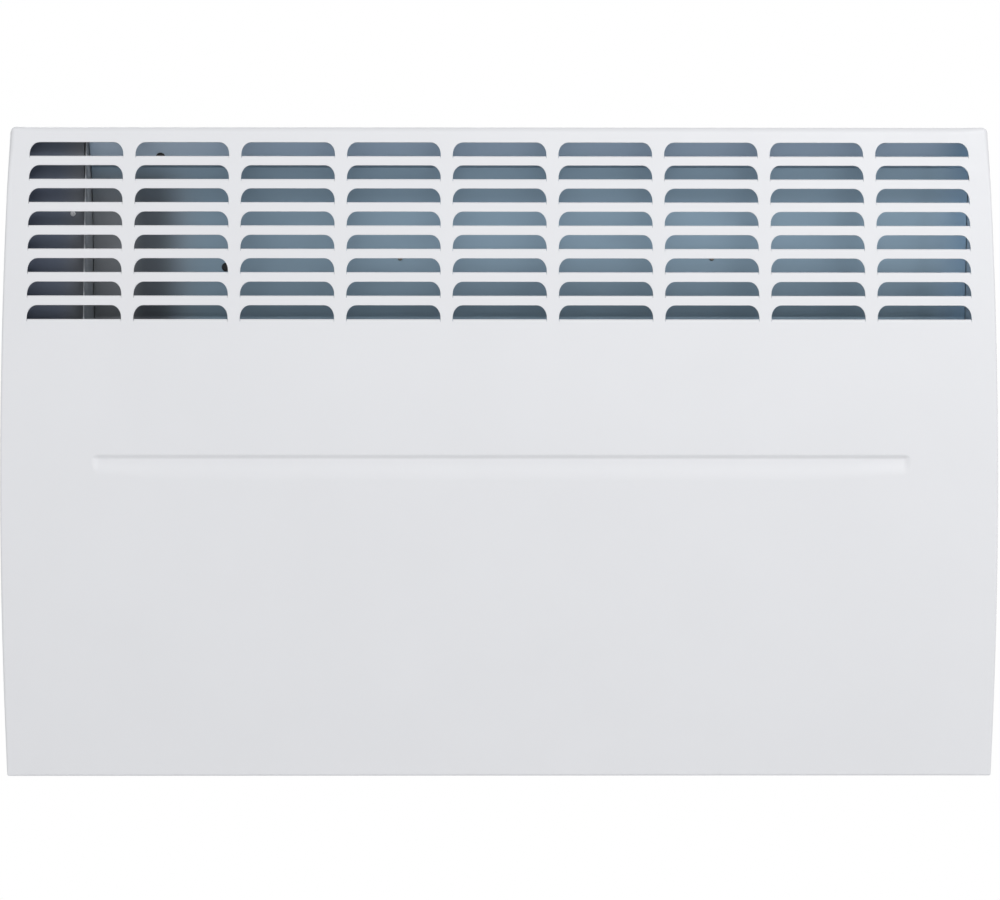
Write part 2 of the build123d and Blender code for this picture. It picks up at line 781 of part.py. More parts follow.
with BuildPart() as limiter_body:
    with BuildSketch(Plane.YZ.offset(-partition_x)):
        with Locations((-element_y, limiter_z)):
            Rectangle(*limiter_flange)
    extrude(amount=-duct_sheet)
    with BuildSketch(Plane.YZ.offset(-partition_x)):
        with Locations((-element_y, limiter_z)):
            Circle(limiter / 2)
    extrude(amount=-limiter_depth)
    with BuildSketch(Plane.YZ.offset(-partition_x - limiter_depth)):
        with GridLocations(0, limiter / 2, 1, 2):
            with Locations((-element_y, limiter_z)):
                Rectangle(tab_thickness, tab_width)
    extrude(amount=-tab_length)

# ---- Control box, its fascia and what it holds ---------------------------------------------------

box_right = -partition_x - box_partition_gap
box_middle = ((-box_side + box_right) / 2, -(panel_front + box_front) / 2, (box_top + box_bottom) / 2)
with BuildPart() as control_box:
    with Locations(box_middle):
        Box(box_side + box_right, box_front - panel_front, box_height)
    front_edges = control_box.edges().filter_by(Axis.Z).group_by(Axis.Y)[0]
    chamfer(front_edges.sort_by(Axis.X)[-1:], box_corner)
    offset(amount=-box_wall, openings=control_box.faces().sort_by(Axis.X)[0])
    # The wires come up through the bottom.
    with Locations((box_right - box_wall - sheet - wire_window[0] / 2, -control_y, box_bottom)):
        Box(*wire_window, 4 * box_wall, mode=Mode.SUBTRACT)
    # Ribs on the top and the bottom keep the fascia square.
    for z in (box_top - box_wall, box_bottom + box_wall):
        with Locations((6 * box_wall - box_side, box_middle[1], z)):
            Box(box_wall, box_front - panel_front - box_wall, 3 * box_wall)

with BuildPart() as control_fascia:
    # The flange closes the box, and the raised plate fills the notch.
    with BuildSketch(Plane.YZ.offset(-box_side)):
        with Locations((box_middle[1], box_middle[2])):
            Rectangle(box_front - panel_front - 2 * (box_wall + seam),
                      box_height - 2 * (box_wall + seam))
    extrude(amount=fascia_flange)
    with BuildSketch(Plane.YZ.offset(-box_side)):
        with Locations((-control_y, fascia_middle)):
            RectangleRounded(**fascia_outline(0))
    extrude(amount=-width)
    add(casing_block(wall_gap, depth, seam), mode=Mode.INTERSECT)
    # The knob's dish.
    with BuildSketch(Plane.YZ.offset(dish_wall - dish_floor)):
        with Locations((-control_y, knob_z)):
            Circle(dish / 2 + dish_wall)
    extrude(amount=dish_floor - dish_wall - box_side)
    with BuildSketch(Plane.YZ.offset(-dish_floor)):
        with Locations((-control_y, knob_z)):
            Circle(dish / 2)
    extrude(amount=-width, mode=Mode.SUBTRACT)
    with BuildSketch(Plane.YZ.offset(-dish_floor - width)):
        with Locations((-control_y, knob_z)):
            Circle(spindle / 2 + 4 * fit)
        with Locations((-control_y, switch_z)):
            Rectangle(switch_opening[0] + 2 * fit, switch_opening[1] + 2 * fit)
        with Locations((-control_y, lamp_z)):
            Rectangle(lens[0] + 2 * fit, lens[1] + 2 * fit)
    extrude(amount=2 * width, mode=Mode.SUBTRACT)

knob_rear = -dish_floor - knob_foot
knob_place = (-control_y, knob_z)
with BuildPart() as thermostat_knob:
    with BuildSketch(Plane.YZ.offset(-knob_front)):
        with Locations(knob_place):
            Circle(knob / 2)
    extrude(amount=knob_front + knob_rear)
    # Grip flats above the skirt, a pointer groove in the face and the bore for the spindle.
    with BuildSketch(Plane.YZ.offset(-knob_front)):
        with Locations(knob_place):
            Circle(knob)
            RegularPolygon(knob / 2 - knob_chamfer / 2, knob_grips, mode=Mode.SUBTRACT)
    extrude(amount=knob_front + knob_rear - knob_skirt, mode=Mode.SUBTRACT)
    with BuildSketch(Plane.YZ.offset(-knob_front)):
        with Locations((-control_y, knob_z + knob / 2)):
            Rectangle(pointer, knob / 3, align=(Align.CENTER, Align.MAX))
    extrude(amount=pointer / 2, mode=Mode.SUBTRACT)
    with BuildSketch(Plane.YZ.offset(knob_rear)):
        with Locations(knob_place):
            Circle(spindle / 2 + fit)
    extrude(amount=-knob_bore, mode=Mode.SUBTRACT)

thermostat_front = -dish_floor + dish_wall + seam
with BuildPart() as thermostat_spindle:
    with BuildSketch(Plane.YZ.offset(knob_rear - knob_bore)):
        with Locations(knob_place):
            Circle(spindle / 2)
    extrude(amount=thermostat_front + collar_depth - (knob_rear - knob_bore))

with BuildPart() as thermostat_body:
    size_x, size_y, size_z = thermostat_size
    with Locations((thermostat_front + size_x / 2, -control_y, knob_z)):
        Box(size_x, size_y, size_z)
    chamfer(thermostat_body.edges().filter_by(Axis.X), 2 * sheet)
    # A waist where the metal frame meets the moulded rear half.
    with Locations((thermostat_front + size_x / 2, -control_y, knob_z)):
        Box(2 * sheet, size_y - 2 * sheet, size_z - 2 * sheet)
    with BuildSketch(Plane.YZ.offset(thermostat_front + size_x)):
        with Locations(*thermostat_tabs):
            Rectangle(tab_width, tab_thickness)
    extrude(amount=tab_length)
    with BuildSketch(Plane.YZ.offset(thermostat_front)):
        with Locations(knob_place):
            Circle(spindle / 2 + fit)
    extrude(amount=collar_depth + 4 * fit, mode=Mode.SUBTRACT)

# The rocker turns about an axis along Y just behind the switch's face.
bezel_rear = side_x(switch_z - switch_frame[1] / 2, seam)
switch_face = bezel_rear + bezel
rocker_x = switch_face - rocker_sink
switch_rear = switch_face - switch_length
pocket = rocker_radius + rocker_play
with BuildPart() as switch_body:
    with BuildSketch(Plane.YZ.offset(-switch_face)):
        with Locations((-control_y, switch_z)):
            RectangleRounded(*switch_frame, bezel)
    extrude(amount=bezel)
    with BuildSketch(Plane.YZ.offset(-bezel_rear)):
        with Locations((-control_y, switch_z)):
            Rectangle(*switch_opening)
    extrude(amount=switch_length - bezel)
    with BuildSketch(Plane.YZ.offset(-switch_rear)):
        with Locations(*switch_tabs):
            Rectangle(tab_width, tab_thickness)
    extrude(amount=tab_length)
    with BuildSketch(Plane.XZ.offset(control_y)):
        with Locations((-rocker_x, switch_z)):
            Rectangle(rocker_sink + bezel, 2 * pocket, align=(Align.MAX, Align.CENTER))
            Rectangle(rocker_root + 2 * bezel, 2 * pocket, align=(Align.MIN, Align.CENTER))
    extrude(amount=rocker_width / 2 + rocker_play, both=True, mode=Mode.SUBTRACT)
    with BuildSketch(Plane.XZ.offset(control_y)):
        with Locations((-rocker_x, switch_z)):
            Circle(rocker_pin / 2 + fit)
    extrude(amount=switch_opening[0] / 2 - fit, both=True, mode=Mode.SUBTRACT)

tilt = rocker_tilt * pi / 180
rocker_plane = Plane(
    origin=(-rocker_x, -control_y, switch_z),
    x_dir=(sin(tilt), 0, cos(tilt)),
    z_dir=(0, -1, 0),
)
with BuildPart() as switch_rocker:
    with BuildSketch(rocker_plane):
        with BuildLine():
            rise = rocker_valley + rocker_radius * sin(tilt) / cos(tilt)
            Polyline(
                (-rocker_radius, -rocker_root), (rocker_radius, -rocker_root),
                (rocker_radius, rise), (0, rocker_valley), (-rocker_radius, rise),
                close=True,
            )
        make_face()
        Circle(rocker_radius, mode=Mode.INTERSECT)
    extrude(amount=rocker_width / 2, both=True)
    with BuildSketch(rocker_plane):
        Circle(rocker_pin / 2)
    extrude(amount=switch_opening[0] / 2 - 4 * fit, both=True)

lens_rear = side_x(lamp_z - lens[1] / 2 - lens_rim, seam)
with BuildPart() as indicator_lens:
    with BuildSketch(Plane.YZ.offset(-lens_rear)):
        with Locations((-control_y, lamp_z)):
            Rectangle(lens[0] + 2 * lens_rim, lens[1] + 2 * lens_rim)
    extrude(amount=-lens_rim)
    with BuildSketch(Plane.YZ.offset(-lens_rear)):
        with Locations((-control_y, lamp_z)):
            Rectangle(*lens)
    extrude(amount=lens_stem)

with BuildPart() as indicator_lamp:
    with BuildSketch(Plane.YZ.offset(lens_stem - lens_rear)):
        with Locations((-control_y, lamp_z)):
            Circle(lamp / 2)
    extrude(amount=lamp_length)

# ---- Supply: gland, terminal block, earth point --------------------------------------------------

with BuildPart() as cord_gland:
    for start, thickness in ((wall_gap - gland_reach, gland_reach), (panel_front, gland_reach / 2)):
        with BuildSketch(Plane.XZ.offset(start)):
            with Locations((-gland_x, -gland_drop)):
                RegularPolygon(gland_flange / 2, 6)
        extrude(amount=thickness)
    with BuildSketch(Plane.XZ.offset(wall_gap)):
        with Locations((-gland_x, -gland_drop)):
            Circle(gland_neck / 2)
    extrude(amount=sheet)
    with BuildSketch(Plane.XZ):
        with Locations((-gland_x, -gland_drop)):
            Circle(gland_bore / 2)
    extrude(amount=depth, mode=Mode.SUBTRACT)

poles = [(-compartment_x + n * pole_pitch, -wire_y) for n in (-1, 0, 1)]
block_y, block_height = block_size[1:]
block_ends = (block_z - block_height / 2, block_z + block_height / 2)
with BuildPart() as terminal_block:
    with Locations((-compartment_x, -panel_front - block_y / 2, block_z)):
        Box(*block_size)
    # Grooves between the poles, and a step along each end for the wires.
    with BuildSketch(Plane.XZ.offset(panel_front + block_y)):
        with Locations((-compartment_x, block_z)):
            with GridLocations(pole_pitch, 0, 2, 1):
                Rectangle(sheet, block_height)
    extrude(amount=-block_y / 3, mode=Mode.SUBTRACT)
    chamfer(terminal_block.edges().filter_by(Axis.X).group_by(Axis.Y)[0], 2 * sheet)


def saddle(plane, run_radius, width_along):
    """A square clip from the back panel round a straight run; the plane cuts across the run."""
    reach = run_radius + clip_wall
    with BuildPart() as clip:
        with BuildSketch(plane):
            with Locations((0, panel_front - wire_y)):
                Rectangle(2 * reach, wire_y - panel_front + reach, align=(Align.CENTER, Align.MIN))
                Rectangle(4 * reach, clip_wall, align=(Align.CENTER, Align.MIN))
            Rectangle(2 * (run_radius + fit), 2 * (run_radius + fit), mode=Mode.SUBTRACT)
        extrude(amount=width_along / 2, both=True)
    return clip.part


# ---- Sensor -----------------------------------------------------------------------------------------

with BuildPart() as sensor_bulb:
    with BuildSketch(Plane.XY.offset(-bulb_drop - bulb_length / 2)):
        with Locations((-bulb_x, -wire_y)):
            Circle(bulb / 2)
    extrude(amount=bulb_length)

capillary_x = thermostat_front + thermostat_size[0] * 0.6
with BuildPart() as sensor_capillary:
    add(wire_run(
        [
            (-bulb_x, -wire_y, -bulb_drop + bulb_length / 2),
            (-bulb_x, -wire_y, box_bottom - capillary_turn),
            (capillary_x, -capillary_y, box_bottom - 2 * wire_bend),
            (capillary_x, -capillary_y, knob_z - thermostat_size[2] / 2),
        ],
        capillary / 2,
    ))

with BuildPart() as sensor_clips:
    for shift in (-1, 1):
        place = (-bulb_x, -wire_y, -bulb_drop + shift * bulb_length / 3)
        add(saddle(Plane(origin=place, x_dir=(1, 0, 0), z_dir=(0, 0, -1)), bulb / 2, clip_width))

# ---- Wires ------------------------------------------------------------------------------------------

left_pin = rod_left - seal_length - terminal_length
right_pin = rod_right + seal_length + terminal_length
switch_tab_x = tab_length - switch_rear
thermostat_tab_x = thermostat_front + thermostat_size[0] + tab_length
limiter_tab_x = -partition_x - limiter_depth - tab_length
riser_x = box_right - box_wall - wire
far_x = end_plate_x - wire_bend
limiter_tabs = [(-element_y, limiter_z - n * limiter / 4) for n in (-1, 1)]
(switch_in_y, switch_in_z), (switch_out_y, switch_out_z) = switch_tabs
(warm_in_y, warm_in_z), (warm_out_y, warm_out_z) = thermostat_tabs
routes = {
    # From the terminal block's left pole up to the switch.
    "supply": [
        (poles[0][0], -wire_y, block_ends[1]),
        (poles[0][0], -wire_y, box_bottom - supply_turn),
        (riser_x, switch_in_y, box_bottom - riser_turn),
        (riser_x, switch_in_y, switch_in_z),
        (switch_tab_x, switch_in_y, switch_in_z),
    ],
    "switch_to_thermostat": [
        (switch_tab_x, switch_out_y, switch_out_z),
        (riser_x, switch_out_y, switch_out_z),
        (riser_x, warm_in_y, warm_in_z),
        (thermostat_tab_x, warm_in_y, warm_in_z),
    ],
    "thermostat_to_limiter": [
        (thermostat_tab_x, warm_out_y, warm_out_z),
        (riser_x, warm_out_y, warm_out_z),
        (riser_x, warm_out_y, box_bottom - 2 * wire_bend),
        (limiter_tab_x - wire_bend, -element_y, box_bottom - 2 * riser_turn),
        (limiter_tab_x - wire_bend, -element_y, limiter_tabs[0][1]),
        (limiter_tab_x, -element_y, limiter_tabs[0][1]),
    ],
    "limiter_to_element": [
        (limiter_tab_x, -element_y, limiter_tabs[1][1]),
        (limiter_tab_x - wire_bend, -element_y, limiter_tabs[1][1]),
        (limiter_tab_x - wire_bend, -element_y, -element_drop),
        (left_pin, -element_y, -element_drop),
    ],
}
with BuildPart() as live_wires:
    for route in routes.values():
        add(wire_run(route, wire / 2))

with BuildPart() as neutral_wire:
    add(wire_run(
        [
            (poles[2][0], -wire_y, block_ends[0]),
            (poles[2][0], -wire_y, -wire_window_drop),
            (far_x, -wire_y, -wire_window_drop),
            (far_x, -element_y, -wire_window_drop + riser_turn),
            (far_x, -element_y, -element_drop),
            (right_pin, -element_y, -element_drop),
        ],
        wire / 2,
    ))

with BuildPart() as earth_wire:
    add(wire_run(
        [
            (poles[1][0], -wire_y, block_ends[1]),
            (poles[1][0], -wire_y, earth_z - 3 * earth_tag[0]),
            (poles[1][0], -panel_front - sheet - wire / 2, earth_z - earth_tag[1] / 2),
        ],
        wire / 2,
    ))
    with BuildSketch(Plane.XZ.offset(panel_front)):
        with Locations((-compartment_x, earth_z)):
            Rectangle(*earth_tag)
    extrude(amount=sheet)

# ---- Files -----------------------------------------------------------------------------------------

pieces = {
    "front_cover": front_cover,
    "rear_casing": rear_casing,
    "wall_buffers": wall_buffers,
    "wall_bracket": wall_bracket,
    "lock_left": lock_left,
    "lock_right": lock_right,
    "control_partition": control_partition,
    "duct_end_plate": duct_end_plate,
    "air_deflector": air_deflector,
    "heat_shield": heat_shield,
    "element_fin_body": element_fin_body,
    "element_heater_rod": element_heater_rod,
    "element_terminals": element_terminals,
    "element_end_seals": element_end_seals,
    "element_bushes": element_bushes,
    "element_bracket_left": element_bracket_left,
    "element_bracket_right": element_bracket_right,
    "limiter_body": limiter_body,
    "control_box": control_box,
    "control_fascia": control_fascia,
    "thermostat_knob": thermostat_knob,
    "thermostat_spindle": thermostat_spindle,
    "thermostat_body": thermostat_body,
    "switch_body": switch_body,
    "switch_rocker": switch_rocker,
    "indicator_lens": indicator_lens,
    "indicator_lamp": indicator_lamp,
    "cord_gland": cord_gland,
    "terminal_block": terminal_block,
    "earth_wire": earth_wire,
    "sensor_bulb": sensor_bulb,
    "sensor_capillary": sensor_capillary,
    "sensor_clips": sensor_clips,
    "live_wires": live_wires,
    "neutral_wire": neutral_wire,
}
os.makedirs("parts", exist_ok=True)
for name, piece in pieces.items():
    piece.part.label = name
    export_step(piece.part, f"parts/{name}.step")
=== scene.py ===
"""Finishes, fine shapes, light and camera for a wall panel convector heater, round its CAD frame."""

import json
from math import asin, cos, hypot, pi, radians, sin, sqrt

import bpy
from bpy.props import FloatProperty, FloatVectorProperty, IntProperty, PointerProperty
from mathutils import Matrix, Vector
from mathutils.bvhtree import BVHTree
from mathutils.geometry import delaunay_2d_cdt


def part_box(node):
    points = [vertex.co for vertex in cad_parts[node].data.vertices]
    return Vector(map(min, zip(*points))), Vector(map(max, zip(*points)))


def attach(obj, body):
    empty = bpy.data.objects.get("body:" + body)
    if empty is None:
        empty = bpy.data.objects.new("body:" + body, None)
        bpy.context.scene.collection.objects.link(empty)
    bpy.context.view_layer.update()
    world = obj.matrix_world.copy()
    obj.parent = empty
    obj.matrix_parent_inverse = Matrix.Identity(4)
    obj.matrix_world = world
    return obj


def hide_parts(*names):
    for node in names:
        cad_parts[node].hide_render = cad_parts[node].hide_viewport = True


bl_info = {
    "name": "Panel convector heater",
    "version": (1, 0, 0),
    "blender": (4, 5, 0),
    "location": "3D View > Sidebar > Heater",
    "description": "Dresses the heater's frame and sets its stage",
    "category": "Object",
}

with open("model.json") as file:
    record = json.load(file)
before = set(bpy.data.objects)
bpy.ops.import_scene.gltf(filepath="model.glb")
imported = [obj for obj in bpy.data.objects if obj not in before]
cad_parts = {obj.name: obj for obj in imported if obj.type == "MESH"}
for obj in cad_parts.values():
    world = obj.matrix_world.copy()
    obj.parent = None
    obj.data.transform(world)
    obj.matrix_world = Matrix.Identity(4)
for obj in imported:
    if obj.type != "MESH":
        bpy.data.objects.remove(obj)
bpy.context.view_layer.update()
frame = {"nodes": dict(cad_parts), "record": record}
nodes = frame["nodes"]
cover_low, cover_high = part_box("front_cover")

MM = 0.001
FRONT, REAR, LEFT, RIGHT = (0, -1, 0), (0, 1, 0), (-1, 0, 0), (1, 0, 0)

# Pieces of the frame whose finish differs from the rest of their slot's; the air deflector, the duct's end
# plate and the control box carry painted light.
OWN_FINISHES = {
    "air_deflector": "duct_sheet_painted_light",
    "control_partition": "dark_sheet",
    "control_box": "slate_moulding_painted_light",
    "duct_end_plate": "end_plate_painted_light",
}

# How far the edges of the frame's own pieces are broken, by slot, in mm.
EDGE_BREAKS = {
    "white_enamel": 0.2,
    "galvanised_steel": 0.15,
    "bracket_zinc": 0.3,
    "black_moulding": 0.5,
    "grey_moulding": 0.4,
    "white_moulding": 0.4,
    "fin_aluminium": 0.3,
    "natural_nylon": 0.4,
    "silicone": 0.6,
    "black_rubber": 0.8,
    "red_lens": 0.4,
    "plated_brass": 0.15,
}
EDGE_ANGLE = radians(40)
EDGE_SEGMENTS = 2
WELD_REACH = 0.002 * MM

# Lengths that differ by less are the same, and points that are nearer than that are one.
SAME = 1e-7
MERGED = 1e-8

# Soft lights: place and extent in metres, and power as a share of the key light's.
LIGHTS = {
    "key_light": ((1.2, -2.3, 1.75), (1.5, 1.3), 1.0),
    "left_light": ((-2.1, -1.0, 1.3), (1.4, 1.4), 0.205),
    "rear_light": ((-1.3, 2.3, 1.5), (1.6, 1.6), 0.43),
}
SOFT_LIGHT = (0.97, 0.985, 1.0, 1)
WHITE = (1, 1, 1, 1)
SENSOR_WIDTH = 36
NEAREST_SEEN = 0.05


# ---- Settings ------------------------------------------------------------------------------


def length(name, description, default):
    """A size in metres that the user may change."""
    return FloatProperty(name=name, description=description, default=default, unit="LENGTH", precision=5)


def colour(name, description, default):
    """A linear colour that the user may change."""
    return FloatVectorProperty(
        name=name, description=description, default=default, subtype="COLOR", min=0, max=1
    )


class HeaterCoverSettings(bpy.types.PropertyGroup):
    """Sizes of the pressed front cover."""

    face_radius: length("Face radius", "Radius of the curved face about an axis along X", 1.5)
    side_bow: length("Side bow", "How far each side bows out at mid-height", 3.5 * MM)
    top_corner: length("Top corner", "Radius of the upper corners", 4.0 * MM)
    bottom_corner: length("Bottom corner", "Radius of the lower corners", 1.4 * MM)
    edge_roll: length("Edge roll", "Outside radius of the bend round the face", 1.7 * MM)
    top_roll: length("Top roll", "Outside radius of that bend along the top", 6.0 * MM)
    corner_roll: length("Corner roll", "Outside radius of that bend at the lower corners", 1.2 * MM)
    sheet: length("Sheet", "Thickness of the steel", 1.0 * MM)
    slot_width: length("Slot width", "Width of a louvre's opening", 64.0 * MM)
    slot_height: length("Slot height", "Height of a louvre's opening", 9.4 * MM)
    row_pitch: length("Row pitch", "From row to row along the face", 16.15 * MM)
    column_pitch: length("Column pitch", "From column to column", 72.2 * MM)
    top_margin: length("Top margin", "Plain face above the top row", 11.1 * MM)
    louvre_bend: length("Louvre bend", "Outside radius of the bend at a louvre's foot", 1.8 * MM)
    louvre_depth: length("Louvre depth", "How far a louvre stands into the casing", 9.4 * MM)
    line_length: length("Line length", "Length of the pressed line", 556.0 * MM)
    line_above: length("Line above", "Width of the pressed line's upper flank", 3.5 * MM)
    line_below: length("Line below", "Width of the pressed line's lower flank", 15.0 * MM)
    line_end: length("Line end", "Length of the pressed line's round ends", 5.5 * MM)
    line_taper: length("Line taper", "Length over which the lower flank narrows to an end", 60.0 * MM)
    line_shift: length("Line shift", "How far the pressed line lies to the right", 1.3 * MM)
    line_depth: length("Line depth", "Depth of the pressed line", 1.5 * MM)
    line_drop: length("Line drop", "How far the pressed line lies below mid-height", 6.6 * MM)
    rows: IntProperty(name="Rows", description="Rows of louvres", default=8, min=1)
    columns: IntProperty(name="Columns", description="Columns of louvres", default=9, min=1)


class HeaterFinishSettings(bpy.types.PropertyGroup):
    """Colours of the heater's finishes."""

    enamel: colour("Enamel", "Powder coat of the cover and the casing", (0.752, 0.757, 0.780))
    galvanised: colour("Galvanised", "Zinc coat of the duct's sheets", (0.50, 0.56, 0.62))
    black: colour("Black", "Black mouldings", (0.022, 0.023, 0.025))
    grey: colour("Grey", "Moulding of the knob and the rocker", (0.30, 0.31, 0.33))
    lens: colour("Lens", "Lens of the lamp", (0.62, 0.02, 0.015))


class HeaterStageSettings(bpy.types.PropertyGroup):
    """Camera, light and floor."""

    camera_place: FloatVectorProperty(
        name="Camera", description="Place of the camera", default=(-0.01842, -2.298, -0.06714),
        subtype="TRANSLATION", unit="LENGTH",
    )
    camera_pitch: FloatProperty(
        name="Pitch", description="Upward tilt of the camera", default=0.03034, unit="ROTATION"
    )
    camera_yaw: FloatProperty(
        name="Yaw", description="Turn of the camera about the upright", default=-0.00844, unit="ROTATION"
    )
    lens: FloatProperty(name="Focal length", description="In millimetres", default=117.04)
    key: FloatProperty(
        name="Key light", description="Power of the soft light at the upper right", default=59.5,
        unit="POWER",
    )
    ambient: FloatProperty(
        name="Ambient", description="Strength of the soft light from in front", default=0.49
    )
    floor_drop: length("Floor drop", "How far the floor lies below the heater's middle", 0.45)
    floor_radius: length("Floor radius", "Radius of the floor", 1.2)


# ---- Nodes of the materials ----------------------------------------------------------------


def add_node(tree, kind, inputs=None, **settings):
    """A node with its settings; an input is a value, or the output that feeds it."""
    node = tree.nodes.new(kind)
    for setting, value in settings.items():
        setattr(node, setting, value)
    for socket, value in (inputs or {}).items():
        if isinstance(value, bpy.types.NodeSocket):
            tree.links.new(value, node.inputs[socket])
        else:
            node.inputs[socket].default_value = value
    return node


def map_range(tree, source, start, end, low, high, kind="LINEAR"):
    """A value that goes from low to high as its source goes from start to end."""
    inputs = {"Value": source, "From Min": start, "From Max": end, "To Min": low, "To Max": high}
    return add_node(tree, "ShaderNodeMapRange", inputs, interpolation_type=kind).outputs[0]


def arithmetic(tree, operation, first, second):
    """What an operation makes of two values."""
    return add_node(tree, "ShaderNodeMath", {0: first, 1: second}, operation=operation).outputs[0]


def mixed_colour(tree, share, first, second):
    """A colour that turns from the first into the second by a share."""
    inputs = {"Factor": share, 6: first, 7: second}
    return add_node(tree, "ShaderNodeMix", inputs, data_type="RGBA").outputs[2]


def mixed_shader(tree, share, first, second):
    """A shader that turns from the first into the second by a share."""
    return add_node(tree, "ShaderNodeMixShader", {0: share, 1: first, 2: second}).outputs[0]


# ---- Finishes ------------------------------------------------------------------------------


def scaled(base, level):
    """A colour at a multiple of itself."""
    return [min(level * c, 1) for c in base]


class Finish:
    """A material under construction, on the object's own coordinates."""

    def __init__(self, base, roughness, metallic=0.0, **sockets):
        self.material = bpy.data.materials.new("finish")
        self.material.use_nodes = True
        self.tree = self.material.node_tree
        self.shader = self.tree.nodes["Principled BSDF"]
        self.place = add_node(self.tree, "ShaderNodeTexCoord").outputs["Object"]
        self.base = base
        sockets.update(Base_Color=(*base, 1), Roughness=roughness, Metallic=metallic)
        for socket, value in sockets.items():
            self.shader.inputs[socket.replace("_", " ")].default_value = value

    def feed(self, socket, source):
        """Feeds a socket of the shader."""
        self.tree.links.new(source, self.shader.inputs[socket])

    def texture(self, kind, scale, stretch=(1, 1, 1), output=0, detail=None, **settings):
        """A texture's output; scale is in features for each metre."""
        place = add_node(self.tree, "ShaderNodeMapping", {"Vector": self.place, "Scale": stretch})
        inputs = {"Vector": place.outputs[0], "Scale": scale}
        if detail is not None:
            inputs["Detail"] = detail
        return add_node(self.tree, kind, inputs, **settings).outputs[output]

    def noise(self, scale, detail, stretch=(1, 1, 1)):
        """Soft irregular noise."""
        return self.texture("ShaderNodeTexNoise", scale, stretch, detail=detail)

    def cells(self, scale):
        """Irregular cells, each of one value."""
        return self.texture("ShaderNodeTexVoronoi", scale, output="Color")

    def spread(self, source, low, high):
        """The source's middle range spread from low to high."""
        return map_range(self.tree, source, 0.3, 0.7, low, high)

    def along(self, axis, start, end, low=0.0, high=1.0):
        """A value that goes smoothly from low to high between two places on an axis."""
        split = add_node(self.tree, "ShaderNodeSeparateXYZ", {0: self.place})
        return map_range(self.tree, split.outputs[axis], start, end, low, high, "SMOOTHSTEP")

    def both(self, first, second):
        """The product of two values."""
        return arithmetic(self.tree, "MULTIPLY", first, second)

    def roughen(self, source, low, high):
        """The roughness between two values."""
        self.feed("Roughness", self.spread(source, low, high))

    def tint(self, source, low, high):
        """The base colour between two multiples of itself."""
        dark, pale = [(*scaled(self.base, level), 1) for level in (low, high)]
        self.feed("Base Color", mixed_colour(self.tree, self.spread(source, 0, 1), dark, pale))

    def stain(self, share, overlay_colour):
        """The base colour as it is so far, turning into another by a share; it makes a wire's stripe, and
        painted light elsewhere.
        """
        links = self.shader.inputs["Base Color"].links
        shown = links[0].from_socket if links else (*self.base, 1)
        self.feed("Base Color", mixed_colour(self.tree, share, shown, (*overlay_colour, 1)))

    def bump(self, source, depth, strength):
        """Relief of that depth in metres, on top of any bump made before."""
        inputs = {"Height": source, "Distance": depth, "Strength": strength}
        links = self.shader.inputs["Normal"].links
        if links:
            inputs["Normal"] = links[0].from_socket
        self.feed("Normal", add_node(self.tree, "ShaderNodeBump", inputs).outputs[0])


def enamel(base, roughness=0.5):
    """Satin powder coat: faint orange peel and fine tooth."""
    finish = Finish(base, roughness, Specular_IOR_Level=0.45)
    finish.roughen(finish.noise(90, 3), roughness - 0.04, roughness + 0.05)
    finish.tint(finish.noise(14, 2), 0.992, 1.006)
    finish.bump(finish.noise(420, 2), 0.02 * MM, 0.5)
    finish.bump(finish.noise(1900, 2), 0.006 * MM, 0.5)
    return finish.material


def zinc_sheet(base, roughness=0.34, metallic=1.0):
    """Galvanised sheet with its spangle."""
    finish = Finish(base, roughness, metallic)
    spangle = finish.cells(210)
    finish.tint(spangle, 0.94, 1.04)
    finish.roughen(spangle, roughness - 0.03, roughness + 0.05)
    finish.bump(finish.noise(240, 4), 0.02 * MM, 0.4)
    return finish.material


def deflector_sheet(base):
    """The duct's rear sheet with painted light: a painted highlight at its lip, painted shade lower down,
    painted shade and a black painted shadow next to the partition, and painted light at its right end.
    """
    # Colours of painted shade and of a black painted shadow next to the partition, and of painted
    # highlights at the lip.
    partition_shade, black = (0.235, 0.25, 0.27), (0.085, 0.105, 0.125)
    pale, brightest_lip_highlight = (0.55, 0.685, 0.83), (0.66, 0.79, 0.92)
    finish = Finish(base, 0.42, 1.0)
    finish.tint(finish.noise(30, 3, (0.4, 1, 1)), 0.96, 1.04)
    # Painted shade: darker towards the left and in its lower part.
    finish.stain(finish.along("X", 0.0, -0.20), scaled(base, 0.82))
    finish.stain(finish.along("Z", 0.150, 0.115), scaled(base, 0.82))
    # Painted shade next to the partition, with a black painted shadow in it.
    below_lip = finish.along("Z", 0.203, 0.180)
    finish.stain(finish.both(finish.along("X", -0.200, -0.250), below_lip), partition_shade)
    partition_shadow = finish.both(finish.along("X", -0.262, -0.246), finish.along("X", -0.215, -0.240, 0.0, 0.75))
    finish.stain(finish.both(partition_shadow, below_lip), black)
    # Painted highlight at the lip, most of all on the left, and painted light at the right end that lifts
    # its shade.
    lip = finish.along("Z", 0.199, 0.206)
    finish.stain(lip, pale)
    finish.stain(finish.both(lip, finish.along("X", -0.14, -0.24)), brightest_lip_highlight)
    finish.stain(finish.along("X", 0.294, 0.325), scaled(base, 1.75))
    # A painted shadow band below the lip.
    band = finish.both(finish.along("Z", 0.203, 0.197), finish.along("Z", 0.171, 0.180, 0.0, 0.25))
    finish.stain(band, scaled(base, 0.45))
    finish.roughen(finish.noise(60, 3, (0.2, 1, 1)), 0.38, 0.48)
    finish.bump(finish.noise(240, 4), 0.02 * MM, 0.4)
    return finish.material


